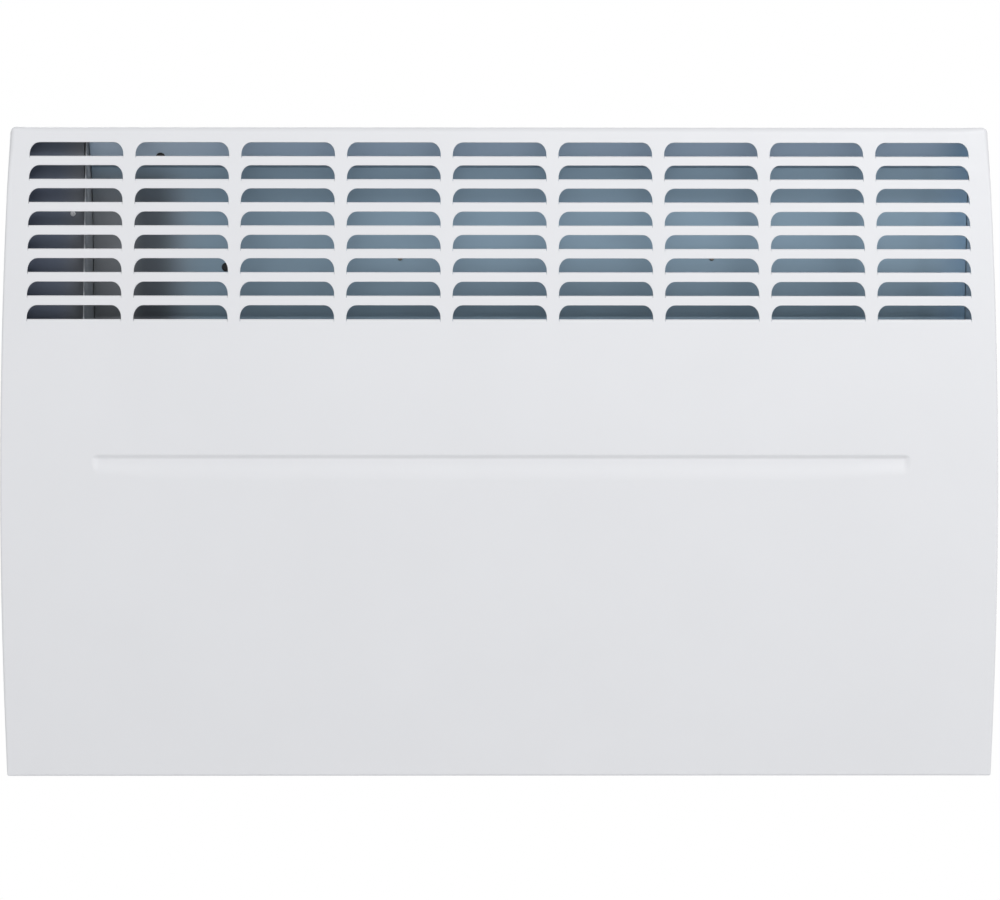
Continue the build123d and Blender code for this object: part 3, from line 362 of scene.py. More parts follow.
def plated(base, roughness):
    """Plated steel or brass with fine rolling marks and handling stains."""
    finish = Finish(base, roughness, 1.0)
    finish.roughen(finish.noise(160, 4), roughness - 0.08, roughness + 0.12)
    finish.tint(finish.noise(60, 3), 0.9, 1.05)
    finish.bump(finish.noise(900, 3, (1, 1, 0.06)), 0.01 * MM, 0.5)
    return finish.material


def extruded(base):
    """Extruded aluminium, drawn along X."""
    finish = Finish(base, 0.38, 1.0)
    lines = finish.noise(1400, 3, (0.012, 1, 1))
    finish.roughen(lines, 0.30, 0.48)
    finish.tint(finish.noise(40, 3, (0.2, 1, 1)), 0.92, 1.04)
    finish.bump(lines, 0.02 * MM, 0.6)
    return finish.material


def moulding(base, roughness, grain=0.04 * MM):
    """Moulded plastic with a spark-eroded grain."""
    finish = Finish(base, roughness, Specular_IOR_Level=0.5)
    finish.roughen(finish.noise(500, 2), roughness - 0.05, roughness + 0.07)
    finish.tint(finish.noise(30, 2), 0.96, 1.03)
    finish.bump(finish.noise(2600, 3), grain, 0.5)
    return finish.material


def box_moulding(base, painted_light_near_partition):
    """The control box's moulding, which turns into another, paler colour towards the partition: painted
    light that lifts its shade there.
    """
    finish = Finish(base, 0.5, Specular_IOR_Level=0.5)
    finish.roughen(finish.noise(500, 2), 0.45, 0.57)
    # Painted light: paler towards the partition.
    finish.stain(finish.along("X", -0.306, -0.284), painted_light_near_partition)
    finish.bump(finish.noise(2600, 3), 0.04 * MM, 0.5)
    return finish.material


def rubber(base, roughness):
    """Matt rubber or silicone."""
    finish = Finish(base, roughness, Specular_IOR_Level=0.35)
    finish.tint(finish.noise(220, 4), 0.85, 1.12)
    finish.roughen(finish.noise(700, 3), roughness - 0.1, roughness + 0.1)
    finish.bump(finish.noise(1500, 4), 0.05 * MM, 0.5)
    return finish.material


def insulation(base, stripe=None):
    """Wire insulation, slightly waxy, or with a stripe that winds round the wire."""
    if stripe:
        finish = Finish(base, 0.42)
        wave = finish.texture("ShaderNodeTexWave", 60, output="Fac", bands_direction="DIAGONAL")
        finish.stain(finish.spread(wave, 0, 1), stripe)
    else:
        finish = Finish(base, 0.42, Coat_Weight=0.15, Coat_Roughness=0.3)
        finish.tint(finish.noise(90, 2), 0.93, 1.05)
    finish.roughen(finish.noise(600, 2), 0.36, 0.5)
    finish.bump(finish.noise(800, 1), 0.03 * MM, 0.4)
    return finish.material


def clear(base, roughness, ior, transmission, ribbed=False):
    """Tinted glass or clear plastic, with moulded ribs across it where it is ribbed."""
    finish = Finish(base, roughness, IOR=ior, Transmission_Weight=transmission)
    finish.roughen(finish.noise(400, 2), roughness, roughness + 0.08)
    finish.bump(finish.noise(500, 2), 0.02 * MM, 0.3)
    if ribbed:
        ribs = finish.texture("ShaderNodeTexWave", 180, (0, 0, 1), bands_direction="Z")
        finish.bump(ribs, 0.3 * MM, 0.8)
    return finish.material


def make_finishes(chosen):
    """One material for each finish."""
    return {
        "white_enamel": enamel(chosen.enamel),
        "white_screw": enamel(chosen.enamel, 0.42),
        "dark_sheet": enamel((0.44, 0.46, 0.485)),
        "galvanised_steel": zinc_sheet(chosen.galvanised),
        # The end plate's pale colour is painted light that lifts it out of the duct's shade.
        "end_plate_painted_light": zinc_sheet((0.72, 0.83, 0.93), 0.5, 0.1),
        "bracket_zinc": zinc_sheet((0.60, 0.62, 0.62), 0.42),
        "duct_sheet_painted_light": deflector_sheet((0.325, 0.445, 0.55)),
        "screw_zinc": plated((0.66, 0.66, 0.64), 0.32),
        "sheath_steel": plated((0.36, 0.34, 0.32), 0.44),
        "plated_brass": plated((0.70, 0.62, 0.44), 0.28),
        "copper": plated((0.78, 0.38, 0.22), 0.3),
        "fin_aluminium": extruded((0.62, 0.63, 0.64)),
        "black_moulding": moulding(chosen.black, 0.5),
        "grey_moulding": moulding(chosen.grey, 0.42),
        "white_moulding": moulding(chosen.enamel, 0.38, 0.025 * MM),
        "natural_nylon": moulding((0.72, 0.69, 0.60), 0.4, 0.02 * MM),
        "slate_moulding_painted_light": box_moulding((0.115, 0.140, 0.195), (0.165, 0.178, 0.20)),
        "silicone": rubber((0.55, 0.50, 0.44), 0.55),
        "black_rubber": rubber((0.025, 0.025, 0.026), 0.75),
        "brown_insulation": insulation((0.16, 0.06, 0.025)),
        "blue_insulation": insulation((0.02, 0.12, 0.42)),
        "green_yellow_insulation": insulation((0.05, 0.32, 0.06), (0.75, 0.62, 0.03)),
        "red_lens": clear(chosen.lens, 0.12, 1.49, 0.6, ribbed=True),
        "lamp_glass": clear((0.90, 0.62, 0.50), 0.05, 1.5, 0.9),
    }


def finish_named(name):
    """The material of a finish; all of them are made at the first call."""
    key = "heater_" + name
    if key not in bpy.data.materials:
        for made, material in make_finishes(bpy.context.scene.heater_finish).items():
            material.name = "heater_" + made
    return bpy.data.materials[key]


# ---- Meshes --------------------------------------------------------------------------------


def clamped(share):
    """A share kept from 0 to 1."""
    return min(max(share, 0), 1)


def eased(share):
    """A share from 0 to 1 that starts and ends gently."""
    share = clamped(share)
    return share * share * (3 - 2 * share)


def nearly(a, b):
    """Whether two lengths are the same."""
    return abs(a - b) < SAME


class Sheet:
    """Outer points of a sheet with their normals, and the faces between them."""

    def __init__(self):
        self.points, self.normals, self.faces = [], [], []

    def add(self, point, normal):
        """Adds a point, and gives its number."""
        self.points.append(Vector(point))
        self.normals.append(Vector(normal).normalized())
        return len(self.points) - 1

    def band(self, front, rear, open_after=None):
        """Faces between two closed lines of points, but for the places where they stay open."""
        for n, m in around(len(front)):
            if not (open_after and open_after[n]):
                self.faces.append([front[m], front[n], rear[n], rear[m]])

    def mesh(self, name, thickness):
        """A closed mesh: the outer faces, the same behind them, and the cut edges between."""
        count = len(self.points)
        points = self.points + [p - n * thickness for p, n in zip(self.points, self.normals)]
        used = {(a, b) for face in self.faces for a, b in zip(face, face[1:] + face[:1])}
        rim = [(a, b) for a, b in used if (b, a) not in used]
        faces = list(self.faces)
        faces += [[n + count for n in reversed(face)] for face in self.faces]
        smooth = len(faces)
        faces += [[b, a, a + count, b + count] for a, b in sorted(rim)]
        mesh = bpy.data.meshes.new(name)
        mesh.from_pydata(points, [], faces)
        mesh.shade_smooth()
        normals = []
        for number, face in enumerate(faces):
            if number < smooth:
                normals += [self.normals[n] if n < count else -self.normals[n - count] for n in face]
            else:
                normals += [mesh.polygons[number].normal.copy()] * len(face)
        mesh.normals_split_custom_set(normals)
        return mesh


def solid_mesh(name, parts, sharp=35.0):
    """One mesh from (points, faces) parts, smooth but for edges sharper than an angle in degrees."""
    points, faces = [], []
    for part_points, part_faces in parts:
        first = len(points)
        points += part_points
        faces += [[n + first for n in face] for face in part_faces]
    mesh = bpy.data.meshes.new(name)
    mesh.from_pydata(points, [], faces)
    mesh.shade_smooth()
    mesh.set_sharp_from_angle(angle=radians(sharp))
    return mesh


def placed(part, place):
    """A part's points moved by a matrix."""
    points, faces = part
    return [place @ Vector(p) for p in points], faces


def around(count):
    """Each number below a count with the next one, and the last with the first."""
    return [(n, (n + 1) % count) for n in range(count)]


def sized(profile, across=MM, up=MM):
    """Pairs of numbers as lengths; they are millimetres unless other measures are given."""
    return [(a * across, b * up) for a, b in profile]


def turned(profile, segments, drop_at=None):
    """A solid turned about Z from (radius, height) points; drop_at lowers each point of it."""
    points, faces, rings = [], [], []
    for radius, height in profile:
        if radius < SAME:
            rings.append([len(points)] * segments)
            points.append(Vector((0, 0, height)))
            continue
        rings.append([len(points) + n for n in range(segments)])
        for n in range(segments):
            turn = 2 * pi * n / segments
            x, y = radius * cos(turn), radius * sin(turn)
            drop = drop_at(x, y, radius, height) if drop_at else 0
            points.append(Vector((x, y, height - drop)))
    for low, high in zip(rings, rings[1:]):
        for n, m in around(segments):
            corners = [low[n], low[m], high[m], high[n]]
            face = [c for k, c in enumerate(corners) if c not in corners[:k]]
            if len(face) > 2:
                faces.append(face)
    return points, faces


def facing(place, direction, spin=0.0):
    """The matrix that puts a part at a place with its Z along a direction."""
    turn = Vector(direction).to_track_quat("Z", "Y").to_matrix().to_4x4()
    return Matrix.Translation(Vector(place)) @ turn @ Matrix.Rotation(spin, 4, "Z")


def add_piece(name, mesh, body, slot, replaced=(), finish=None):
    """A piece that rides on a body, in its slot's finish unless another is named."""
    piece = bpy.data.objects.new(name, mesh)
    bpy.context.scene.collection.objects.link(piece)
    mesh.materials.append(finish_named(finish or slot))
    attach(piece, body)
    if replaced:
        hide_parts(*replaced)
    return piece


def add_wire(name, runs, radius, slot, replaced):
    """Round wires along routes in mm, each bent smoothly near its corners, for a piece of the frame."""
    curve = bpy.data.curves.new(name, "CURVE")
    curve.dimensions = "3D"
    curve.bevel_depth = radius
    curve.bevel_resolution = 4
    curve.use_fill_caps = True
    for run in runs:
        spline = curve.splines.new("NURBS")
        spline.points.add(len(run) - 1)
        for point, place in zip(spline.points, run):
            point.co = (*[c * MM for c in place], 1)
        spline.order_u = 3
        spline.use_endpoint_u = True
        spline.resolution_u = 6
    return add_piece(name, curve, "casing", slot, [replaced])


def seat(node, start, direction):
    """Where a line from a point in mm meets a piece of the frame, and its surface's direction there."""
    mesh = nodes[node].data
    tree = BVHTree.FromPolygons([v.co for v in mesh.vertices], [p.vertices for p in mesh.polygons])
    place, normal, _, _ = tree.ray_cast(Vector(start) * MM, Vector(direction).normalized())
    if place is None:
        raise ValueError("nothing of " + node + " lies there")
    return place / MM, normal if normal.dot(Vector(direction)) < 0 else -normal


def plate(outline, height, ease, sunk=0.3 * MM):
    """A plate on Z = 0 from a counterclockwise outline, its upper edge drawn in by an amount."""
    inner = []
    for n, (x, y) in enumerate(outline):
        before, after = Vector(outline[n - 1]), Vector(outline[(n + 1) % len(outline)])
        along = (after - before).normalized()
        inner.append((x - along.y * ease, y + along.x * ease))
    levels = ((outline, -sunk), (outline, height - ease), (inner, height))
    points = [Vector((x, y, z)) for line, z in levels for x, y in line]
    count = len(outline)
    faces = [list(range(count))[::-1], list(range(2 * count, 3 * count))]
    for level in (0, count):
        faces += [[level + n, level + m, level + count + m, level + count + n] for n, m in around(count)]
    return points, faces


def rounded(width, height, radius):
    """The outline of a rectangle with round corners about its middle."""
    steps = 6
    outline = []
    for n, (x, y) in enumerate(((1, -1), (1, 1), (-1, 1), (-1, -1))):
        for k in range(steps + 1):
            turn = (n - 1 + k / steps) * pi / 2
            outline.append((x * (width / 2 - radius) + radius * cos(turn),
                            y * (height / 2 - radius) + radius * sin(turn)))
    return outline


# ---- Front cover ---------------------------------------------------------------------------

# The notch in the left wall, round the control fascia.
NOTCH_LOW = 85.8 * MM
NOTCH_HIGH = 206.6 * MM
NOTCH_FRONT = -68.4 * MM
NOTCH_CORNER = 6.4 * MM
# The bottom wall ends in a lip, but for three tabs that reach back to the rear casing.
LIP_REAR = -68.56 * MM
TAB_MIDDLES = (-252 * MM, 0, 252 * MM)
TAB_HALF = 7 * MM
# Where the other walls have their row of points, and how far points keep from each other.
WALL_ROW = -62.0 * MM
APART = 3 * MM
# The elliptical corners of a louvre's slot and of its leaf, which has a little play in the slot.
SLOT_CORNER_WIDTH = 6.8 * MM
SLOT_CORNER_HEIGHT = 8.5 * MM
LEAF_CORNER_WIDTH = 6.3 * MM
LEAF_CORNER_DEPTH = 6.2 * MM
LEAF_PLAY = 0.25 * MM
# Into how many steps the lines and the bends are divided.
SIDE_STEPS = 54
LEVEL_STEPS = 40
CORNER_STEPS = 8
NOTCH_STEPS = 8
SLOT_STEPS = 8
LEAF_STEPS = 8
FOOT_STEPS = 5
LEAF_END_STEPS = 6
LINE_END_STEPS = 12
TAPER_STEPS = 7
ROLL_STEPS = 8
# The rings of points inside the pressed line, as shares of its flanks.
LINE_RINGS = (1.0, 0.83, 0.67, 0.5, 0.33, 0.17)
LEAF_SHARES = [2 * n / LEAF_STEPS - 1 for n in range(LEAF_STEPS + 1)]


def cover_corner(side_centre, side_radius, radius, up):
    """Stations round a right-hand corner of the cover, from below: place and outward direction."""
    z = up * (cover_high.z - radius)
    x = side_centre + sqrt((side_radius - radius) ** 2 - z**2)
    lean = asin(z / (side_radius - radius))
    start, end = (lean, pi / 2) if up > 0 else (-pi / 2, lean)
    turns = [start + (end - start) * n / CORNER_STEPS for n in range(CORNER_STEPS + 1)]
    return [(x + radius * cos(t), z + radius * sin(t), cos(t), sin(t)) for t in turns]


def cover_outline(size):
    """Stations round the cover, counterclockwise from the lower left, and where its walls are open.

    A station is its place across and up, its outward direction, and the level of its row of points.
    """
    half_height, half_width = cover_high.z, cover_high.x
    side_radius = (half_height**2 + size.side_bow**2) / (2 * size.side_bow)
    side_centre = half_width - side_radius

    def side(levels):
        leans = [asin(z / side_radius) for z in levels]
        return [(side_centre + side_radius * cos(lean), z, cos(lean), sin(lean))
                for z, lean in zip(levels, leans)]

    low = cover_corner(side_centre, side_radius, size.bottom_corner, -1)
    high = cover_corner(side_centre, side_radius, size.top_corner, 1)
    start, span = low[-1][1], high[0][1] - low[-1][1]
    levels = [start + span * n / SIDE_STEPS for n in range(1, SIDE_STEPS)]
    notch = {}
    for n in range(NOTCH_STEPS + 1):
        turn = n * pi / (2 * NOTCH_STEPS)
        rise = NOTCH_CORNER * (1 - cos(turn))
        for level in (NOTCH_LOW + rise, NOTCH_HIGH - rise):
            notch[level] = NOTCH_FRONT + NOTCH_CORNER - NOTCH_CORNER * sin(turn)
    left_levels = sorted([z for z in levels if all(abs(z - k) > APART for k in notch)] + list(notch))

    def left_row(z):
        return notch.get(z, NOTCH_FRONT) if NOTCH_LOW <= z <= NOTCH_HIGH else WALL_ROW

    tabs = [middle + half for middle in TAB_MIDDLES for half in (-TAB_HALF, TAB_HALF)]
    even = [low[0][0] * (2 * n / LEVEL_STEPS - 1) for n in range(LEVEL_STEPS + 1)]
    bottom = sorted(tabs + [x for x in even if all(abs(x - t) > APART for t in tabs)])
    top = [high[-1][0] * (1 - 2 * n / LEVEL_STEPS) for n in range(1, LEVEL_STEPS)]
    stations = [(x, -half_height, 0, -1, LIP_REAR) for x in bottom]
    stations += [(*station, WALL_ROW) for station in low[1:] + side(levels) + high]
    stations += [(x, half_height, 0, 1, WALL_ROW) for x in top]
    stations += [(-x, z, -nx, nz, WALL_ROW) for x, z, nx, nz in reversed(high)]
    stations += [(-x, z, -nx, nz, left_row(z)) for x, z, nx, nz in reversed(side(left_levels))]
    stations += [(-x, z, -nx, nz, WALL_ROW) for x, z, nx, nz in reversed(low[1:])]

    open_after = []
    for n, m in around(len(stations)):
        (x, z), (far_x, far_z) = stations[n][:2], stations[m][:2]
        middle_x, middle_z = (x + far_x) / 2, (z + far_z) / 2
        on_bottom = nearly(z, -half_height) and nearly(far_z, -half_height)
        on_tab = any(abs(middle_x - middle) < TAB_HALF for middle in TAB_MIDDLES)
        in_notch = middle_x < -half_width / 2 and NOTCH_LOW < middle_z < NOTCH_HIGH
        open_after.append((on_bottom and not on_tab) or in_notch)
    return stations, open_after


def edge_roll(size, x, z):
    """Radius of the rolled edge: widest along the top, tighter towards the lower corners."""
    corner, corner_blend, top_blend, side_blend = 4 * MM, 26 * MM, 20 * MM, 45 * MM
    top_share = 0.62
    away = sqrt((abs(x) - cover_high.x) ** 2 + (z + cover_high.z) ** 2)
    share = eased((away - corner) / corner_blend)
    roll = size.corner_roll + (size.edge_roll - size.corner_roll) * share
    share = eased((cover_high.x - abs(x) - corner) / top_blend)
    top_roll = size.top_roll * (top_share + (1 - top_share) * share)
    return roll + (top_roll - roll) * eased(1 - (cover_high.z - size.top_corner - z) / side_blend)


def edge_rolls(size, stations):
    """The rolled edge's centre, first direction and radius at every station, and the face's edge."""
    radius = size.face_radius
    rolls, rim = [], []
    for x, z, nx, nz, _ in stations:
        roll = edge_roll(size, x, z)
        x, z = x - nx * roll, z - nz * roll
        angle = asin(z / (radius - roll))
        centre = Vector((x, radius + cover_low.y - (radius - roll) * cos(angle), z))
        rolls.append((centre, Vector((0, -cos(angle), sin(angle))), roll))
        rim.append((x, radius * angle))
    return rolls, rim


def on_face(size, x, s):
    """A point at a distance up the curve of the face, with the directions outward and upward there."""
    radius, angle = size.face_radius, s / size.face_radius
    place = Vector((x, radius * (1 - cos(angle)) + cover_low.y, radius * sin(angle)))
    return place, Vector((0, -cos(angle), sin(angle))), Vector((0, sin(angle), cos(angle)))


def face_reach(size):
    """Length of the face's curve from its middle to its top."""
    return size.face_radius * asin(cover_high.z / size.face_radius)


def leaf_half(size):
    """Half the width of a louvre's leaf."""
    return size.slot_width / 2 - LEAF_PLAY


def louvre_slots(size):
    """Every louvre slot's middle, foot and outline on the developed face, from the top row down."""
    top = size.slot_height + size.louvre_bend
    turns = [n * pi / 2 / SLOT_STEPS for n in range(SLOT_STEPS + 1)]
    half = [(size.slot_width / 2, 0)]
    half += [(size.slot_width / 2 - SLOT_CORNER_WIDTH * (1 - cos(t)),
              top - SLOT_CORNER_HEIGHT * (1 - sin(t))) for t in turns]
    first_foot = face_reach(size) - size.top_margin - size.slot_height - size.louvre_bend
    slots = []
    for row in range(size.rows):
        foot = first_foot - row * size.row_pitch
        for column in range(size.columns):
            middle = (column - (size.columns - 1) / 2) * size.column_pitch
            outline = [(middle + share * leaf_half(size), foot) for share in LEAF_SHARES]
            outline += [(middle + x, foot + s) for x, s in half]
            outline += [(middle - x, foot + s) for x, s in reversed(half)]
            slots.append((middle, foot, outline))
    return slots


def in_slot(size, slot, x, s):
    """Whether a point of the developed face lies in a louvre's slot."""
    middle, foot, outline = slot
    if abs(x - middle) >= size.slot_width / 2:
        return False
    if not foot < s < foot + size.slot_height + size.louvre_bend:
        return False
    return all(
        (next_x - at_x) * (s - at_s) - (next_s - at_s) * (x - at_x) > 0
        for (at_x, at_s), (next_x, next_s) in zip(outline, outline[1:] + outline[:1])
        if not nearly(at_s, next_s)
    )


def line_reach(size):
    """Half the length of the pressed line between its round ends."""
    return size.line_length / 2 - size.line_end


def lower_flank(size, x):
    """Width of the pressed line's lower flank, which narrows towards both ends."""
    end_share = 0.75
    share = eased((line_reach(size) - abs(x)) / size.line_taper)
    return size.line_below * (end_share + (1 - end_share) * share)


def line_depth(size, x, s):
    """Depth of the pressed line, across from its own middle and up the developed face."""
    along = max(abs(x) - line_reach(size), 0) / size.line_end
    across = s + size.line_drop
    flank = size.line_above if across > 0 else lower_flank(size, x)
    return size.line_depth * (0.5 + 0.5 * cos(pi * min(hypot(along, across / flank), 1)))


def line_relief(size, x, s):
    """Depth of the pressed line there, and how the face tilts across and up."""
    step = 0.05 * MM
    tilt_x = (line_depth(size, x - step, s) - line_depth(size, x + step, s)) / (2 * step)
    tilt_s = (line_depth(size, x, s - step) - line_depth(size, x, s + step)) / (2 * step)
    return line_depth(size, x, s), tilt_x, tilt_s


def line_rings(size):
    """Rings of points inside the pressed line on the developed face, from its edge inwards."""
    reach = line_reach(size)
    turns = [n * pi / LINE_END_STEPS - pi / 2 for n in range(LINE_END_STEPS + 1)]
    tapered = [reach - n * size.line_taper / TAPER_STEPS for n in range(1, TAPER_STEPS + 1)]

    def level(share, x):
        return share * (size.line_above if share > 0 else lower_flank(size, x)) - size.line_drop

    rings = []
    for share in LINE_RINGS:
        end = share * size.line_end
        ring = [(reach + end * cos(t), level(share * sin(t), reach)) for t in turns]
        ring += [(-reach - end * cos(t), level(-share * sin(t), reach)) for t in turns]
        ring += [(x, level(-share, x)) for x in [-x for x in tapered] + tapered[::-1]]
        rings.append([(x + size.line_shift, s) for x, s in ring])
    return rings


def plain_points(size, slots):
    """Points that keep the curve of the plain face, away from the louvres and the pressed line."""
    step_x, step_s, margin, line_margin = 26 * MM, 7 * MM, 9 * MM, 2 * MM
    across, up = int((cover_high.x - margin) / step_x), int((face_reach(size) - margin) / step_s)
    grille_foot = min(foot for _, foot, _ in slots) - APART
    grille_half = (size.columns / 2 + 0.2) * size.column_pitch
    places = [(n * step_x, m * step_s) for n in range(-across, across + 1) for m in range(-up, up + 1)]
    return [
        Vector((x, s)) for x, s in places
        if not (s > grille_foot and abs(x) < grille_half)
        and abs(s + size.line_drop) > size.line_below + line_margin
    ]


def build_face(sheet, size, rim):
    """The face but for its slots; gives its edge's points, and each louvre's foot, middle and level."""
    points, edges = [], []

    def ring(coordinates):
        first = len(points)
        points.extend(Vector(c) for c in coordinates)
        edges.extend((first + n, first + m) for n, m in around(len(coordinates)))
        return list(range(first, len(points)))

    rim_numbers = ring(rim)
    slots = louvre_slots(size)
    feet = [(ring(outline)[: LEAF_STEPS + 1], middle, foot) for middle, foot, outline in slots]
    for outline in line_rings(size):
        ring(outline)
    reach = line_reach(size)
    points.extend(Vector((x + size.line_shift, -size.line_drop)) for x in (-reach, reach))
    edges.append((len(points) - 2, len(points) - 1))
    points.extend(plain_points(size, slots))

    found, _, triangles, sources, _, _ = delaunay_2d_cdt(points, edges, [], 1, MERGED)
    for x, s in found:
        place, outward, upward = on_face(size, x, s)
        depth, tilt_x, tilt_s = line_relief(size, x - size.line_shift, s)
        sheet.add(place - outward * depth, outward - Vector(RIGHT) * tilt_x - upward * tilt_s)
    for triangle in triangles:
        middle = sum((found[n] for n in triangle), Vector((0, 0))) / 3
        if not any(in_slot(size, slot, *middle) for slot in slots):
            sheet.faces.append(list(triangle))
    number_of = {source: n for n, group in enumerate(sources) for source in group}
    feet = [([number_of[n] for n in numbers], middle, foot) for numbers, middle, foot in feet]
    return [number_of[n] for n in rim_numbers], feet


def build_louvre(sheet, size, last, middle, foot):
    """A louvre that turns in about its foot's line of points and narrows to an elliptical end."""
    origin, outward, upward = on_face(size, middle, foot)
    bend, half = size.louvre_bend, leaf_half(size)
    rows = []
    for n in range(1, FOOT_STEPS + 1):
        turn = n * pi / (2 * FOOT_STEPS)
        rows.append((bend * sin(turn), bend * (1 - cos(turn)), half,
                     outward * cos(turn) + upward * sin(turn)))
    end_start = size.louvre_depth - LEAF_CORNER_DEPTH
    for n in range(LEAF_END_STEPS + 1):
        turn = n * pi / (2 * LEAF_END_STEPS)
        rows.append((bend, end_start + LEAF_CORNER_DEPTH * sin(turn),
                     half - LEAF_CORNER_WIDTH * (1 - cos(turn)), upward))
    for rise, depth, half_wide, normal in rows:
        line = []
        for share in LEAF_SHARES:
            place = origin + Vector((share * half_wide, 0, 0)) + upward * rise - outward * depth
            line.append(sheet.add(place, normal))
        sheet.faces += [[last[n], last[n + 1], line[n + 1], line[n]] for n in range(LEAF_STEPS)]
        last = line


def build_cover(size):
    """The cover as one pressing: face, lanced louvres, pressed line, rolled edge and walls."""
    sheet = Sheet()
    stations, open_after = cover_outline(size)
    rolls, rim = edge_rolls(size, stations)
    last, feet = build_face(sheet, size, rim)
    for numbers, middle, foot in feet:
        build_louvre(sheet, size, numbers, middle, foot)
    for step in range(1, ROLL_STEPS + 1):
        line = []
        for (centre, start, roll), (_, _, nx, nz, _) in zip(rolls, stations):
            direction = start.slerp(Vector((nx, 0, nz)), step / ROLL_STEPS)
            line.append(sheet.add(centre + direction * roll, direction))
        sheet.band(last, line)
        last = line
    line = [sheet.add((x, level, z), (nx, 0, nz)) for x, z, nx, nz, level in stations]
    sheet.band(last, line)
    rear = []
    for n, (x, z, nx, nz, _) in enumerate(stations):
        walled = not open_after[n] or not open_after[n - 1]
        rear.append(sheet.add((x, cover_high.y, z), (nx, 0, nz)) if walled else None)
    sheet.band(line, rear, open_after)
    return sheet.mesh("cover_pressing", size.sheet)


# ---- Fasteners -----------------------------------------------------------------------------

# Profiles from the axis and back to it, as shares of a head's radius and height.
BLIND_RIVET = (
    (0, -0.3), (1, -0.3), (1, 0.15), (0.92, 0.55), (0.72, 0.92), (0.5, 1), (0.36, 1), (0.32, 0.35),
    (0.26, 0.35), (0.24, 0.7), (0.12, 0.8), (0, 0.8),
)
RIVET_TAIL = ((0, 0), (1.1, 0), (1.35, 0.25), (1.3, 0.7), (0.9, 0.95), (0.4, 1), (0, 0.9))
# The same of a push rivet, in mm.
PUSH_RIVET = ((0, -0.5), (3, -0.5), (3.1, 0.3), (2.7, 0.9), (1.6, 1.3), (1.3, 0.9), (0, 0.9))


def cross_recess(radius, depth):
    """How far a cross recess sinks at a point of a screw's head."""
    arm = radius * 0.2
    edge, slope, fade = arm * 1.35, arm * 0.6, 0.6

    def drop(x, y, at_radius, height):
        if at_radius >= radius or height <= 0:
            return 0
        share = clamped((edge - min(abs(x), abs(y))) / slope)
        return depth * share * (1 - at_radius / radius) ** fade

    return drop


def pan_screw(head, height):
    """A pan head with a cross recess, seated on Z = 0."""
    profile = [(0, -0.4), (0.98, -0.4), (1, 0), (1, 0.35)]
    profile += [(cos(t), 0.35 + 0.65 * sin(t)) for t in (0.35, 0.7, 1.05, 1.3)]
    profile += [(share, 1) for share in (0.55, 0.5, 0.44, 0.38, 0.32, 0.26, 0.2, 0.15, 0.1, 0.05)]
    profile += [(0, 0.55)]
    radius, recess = head / 2, 0.6
    drop_at = cross_recess(radius * recess, height * recess)
    return turned(sized(profile, radius, height), 40, drop_at)


def blind_rivet(head, height):
    """A rivet's head with the stub of its mandrel in the middle."""
    return turned(sized(BLIND_RIVET, head / 2, height), 24)


def rivet_tail(shank, reach):
    """The upset end of a blind rivet."""
    return turned(sized(RIVET_TAIL, shank / 2, reach), 20)


def add_fasteners(name, part, places, slot):
    """Copies of a fastener as one piece; each place is (point in mm, direction)."""
    first_spin, spin_step = 0.3, 0.7
    parts = []
    for number, (point, direction) in enumerate(places):
        place = facing([c * MM for c in point], direction, spin_step * number + first_spin)
        parts.append(placed(part, place))
    return add_piece(name, solid_mesh(name, parts), "casing", slot)


# ---- Operators -----------------------------------------------------------------------------


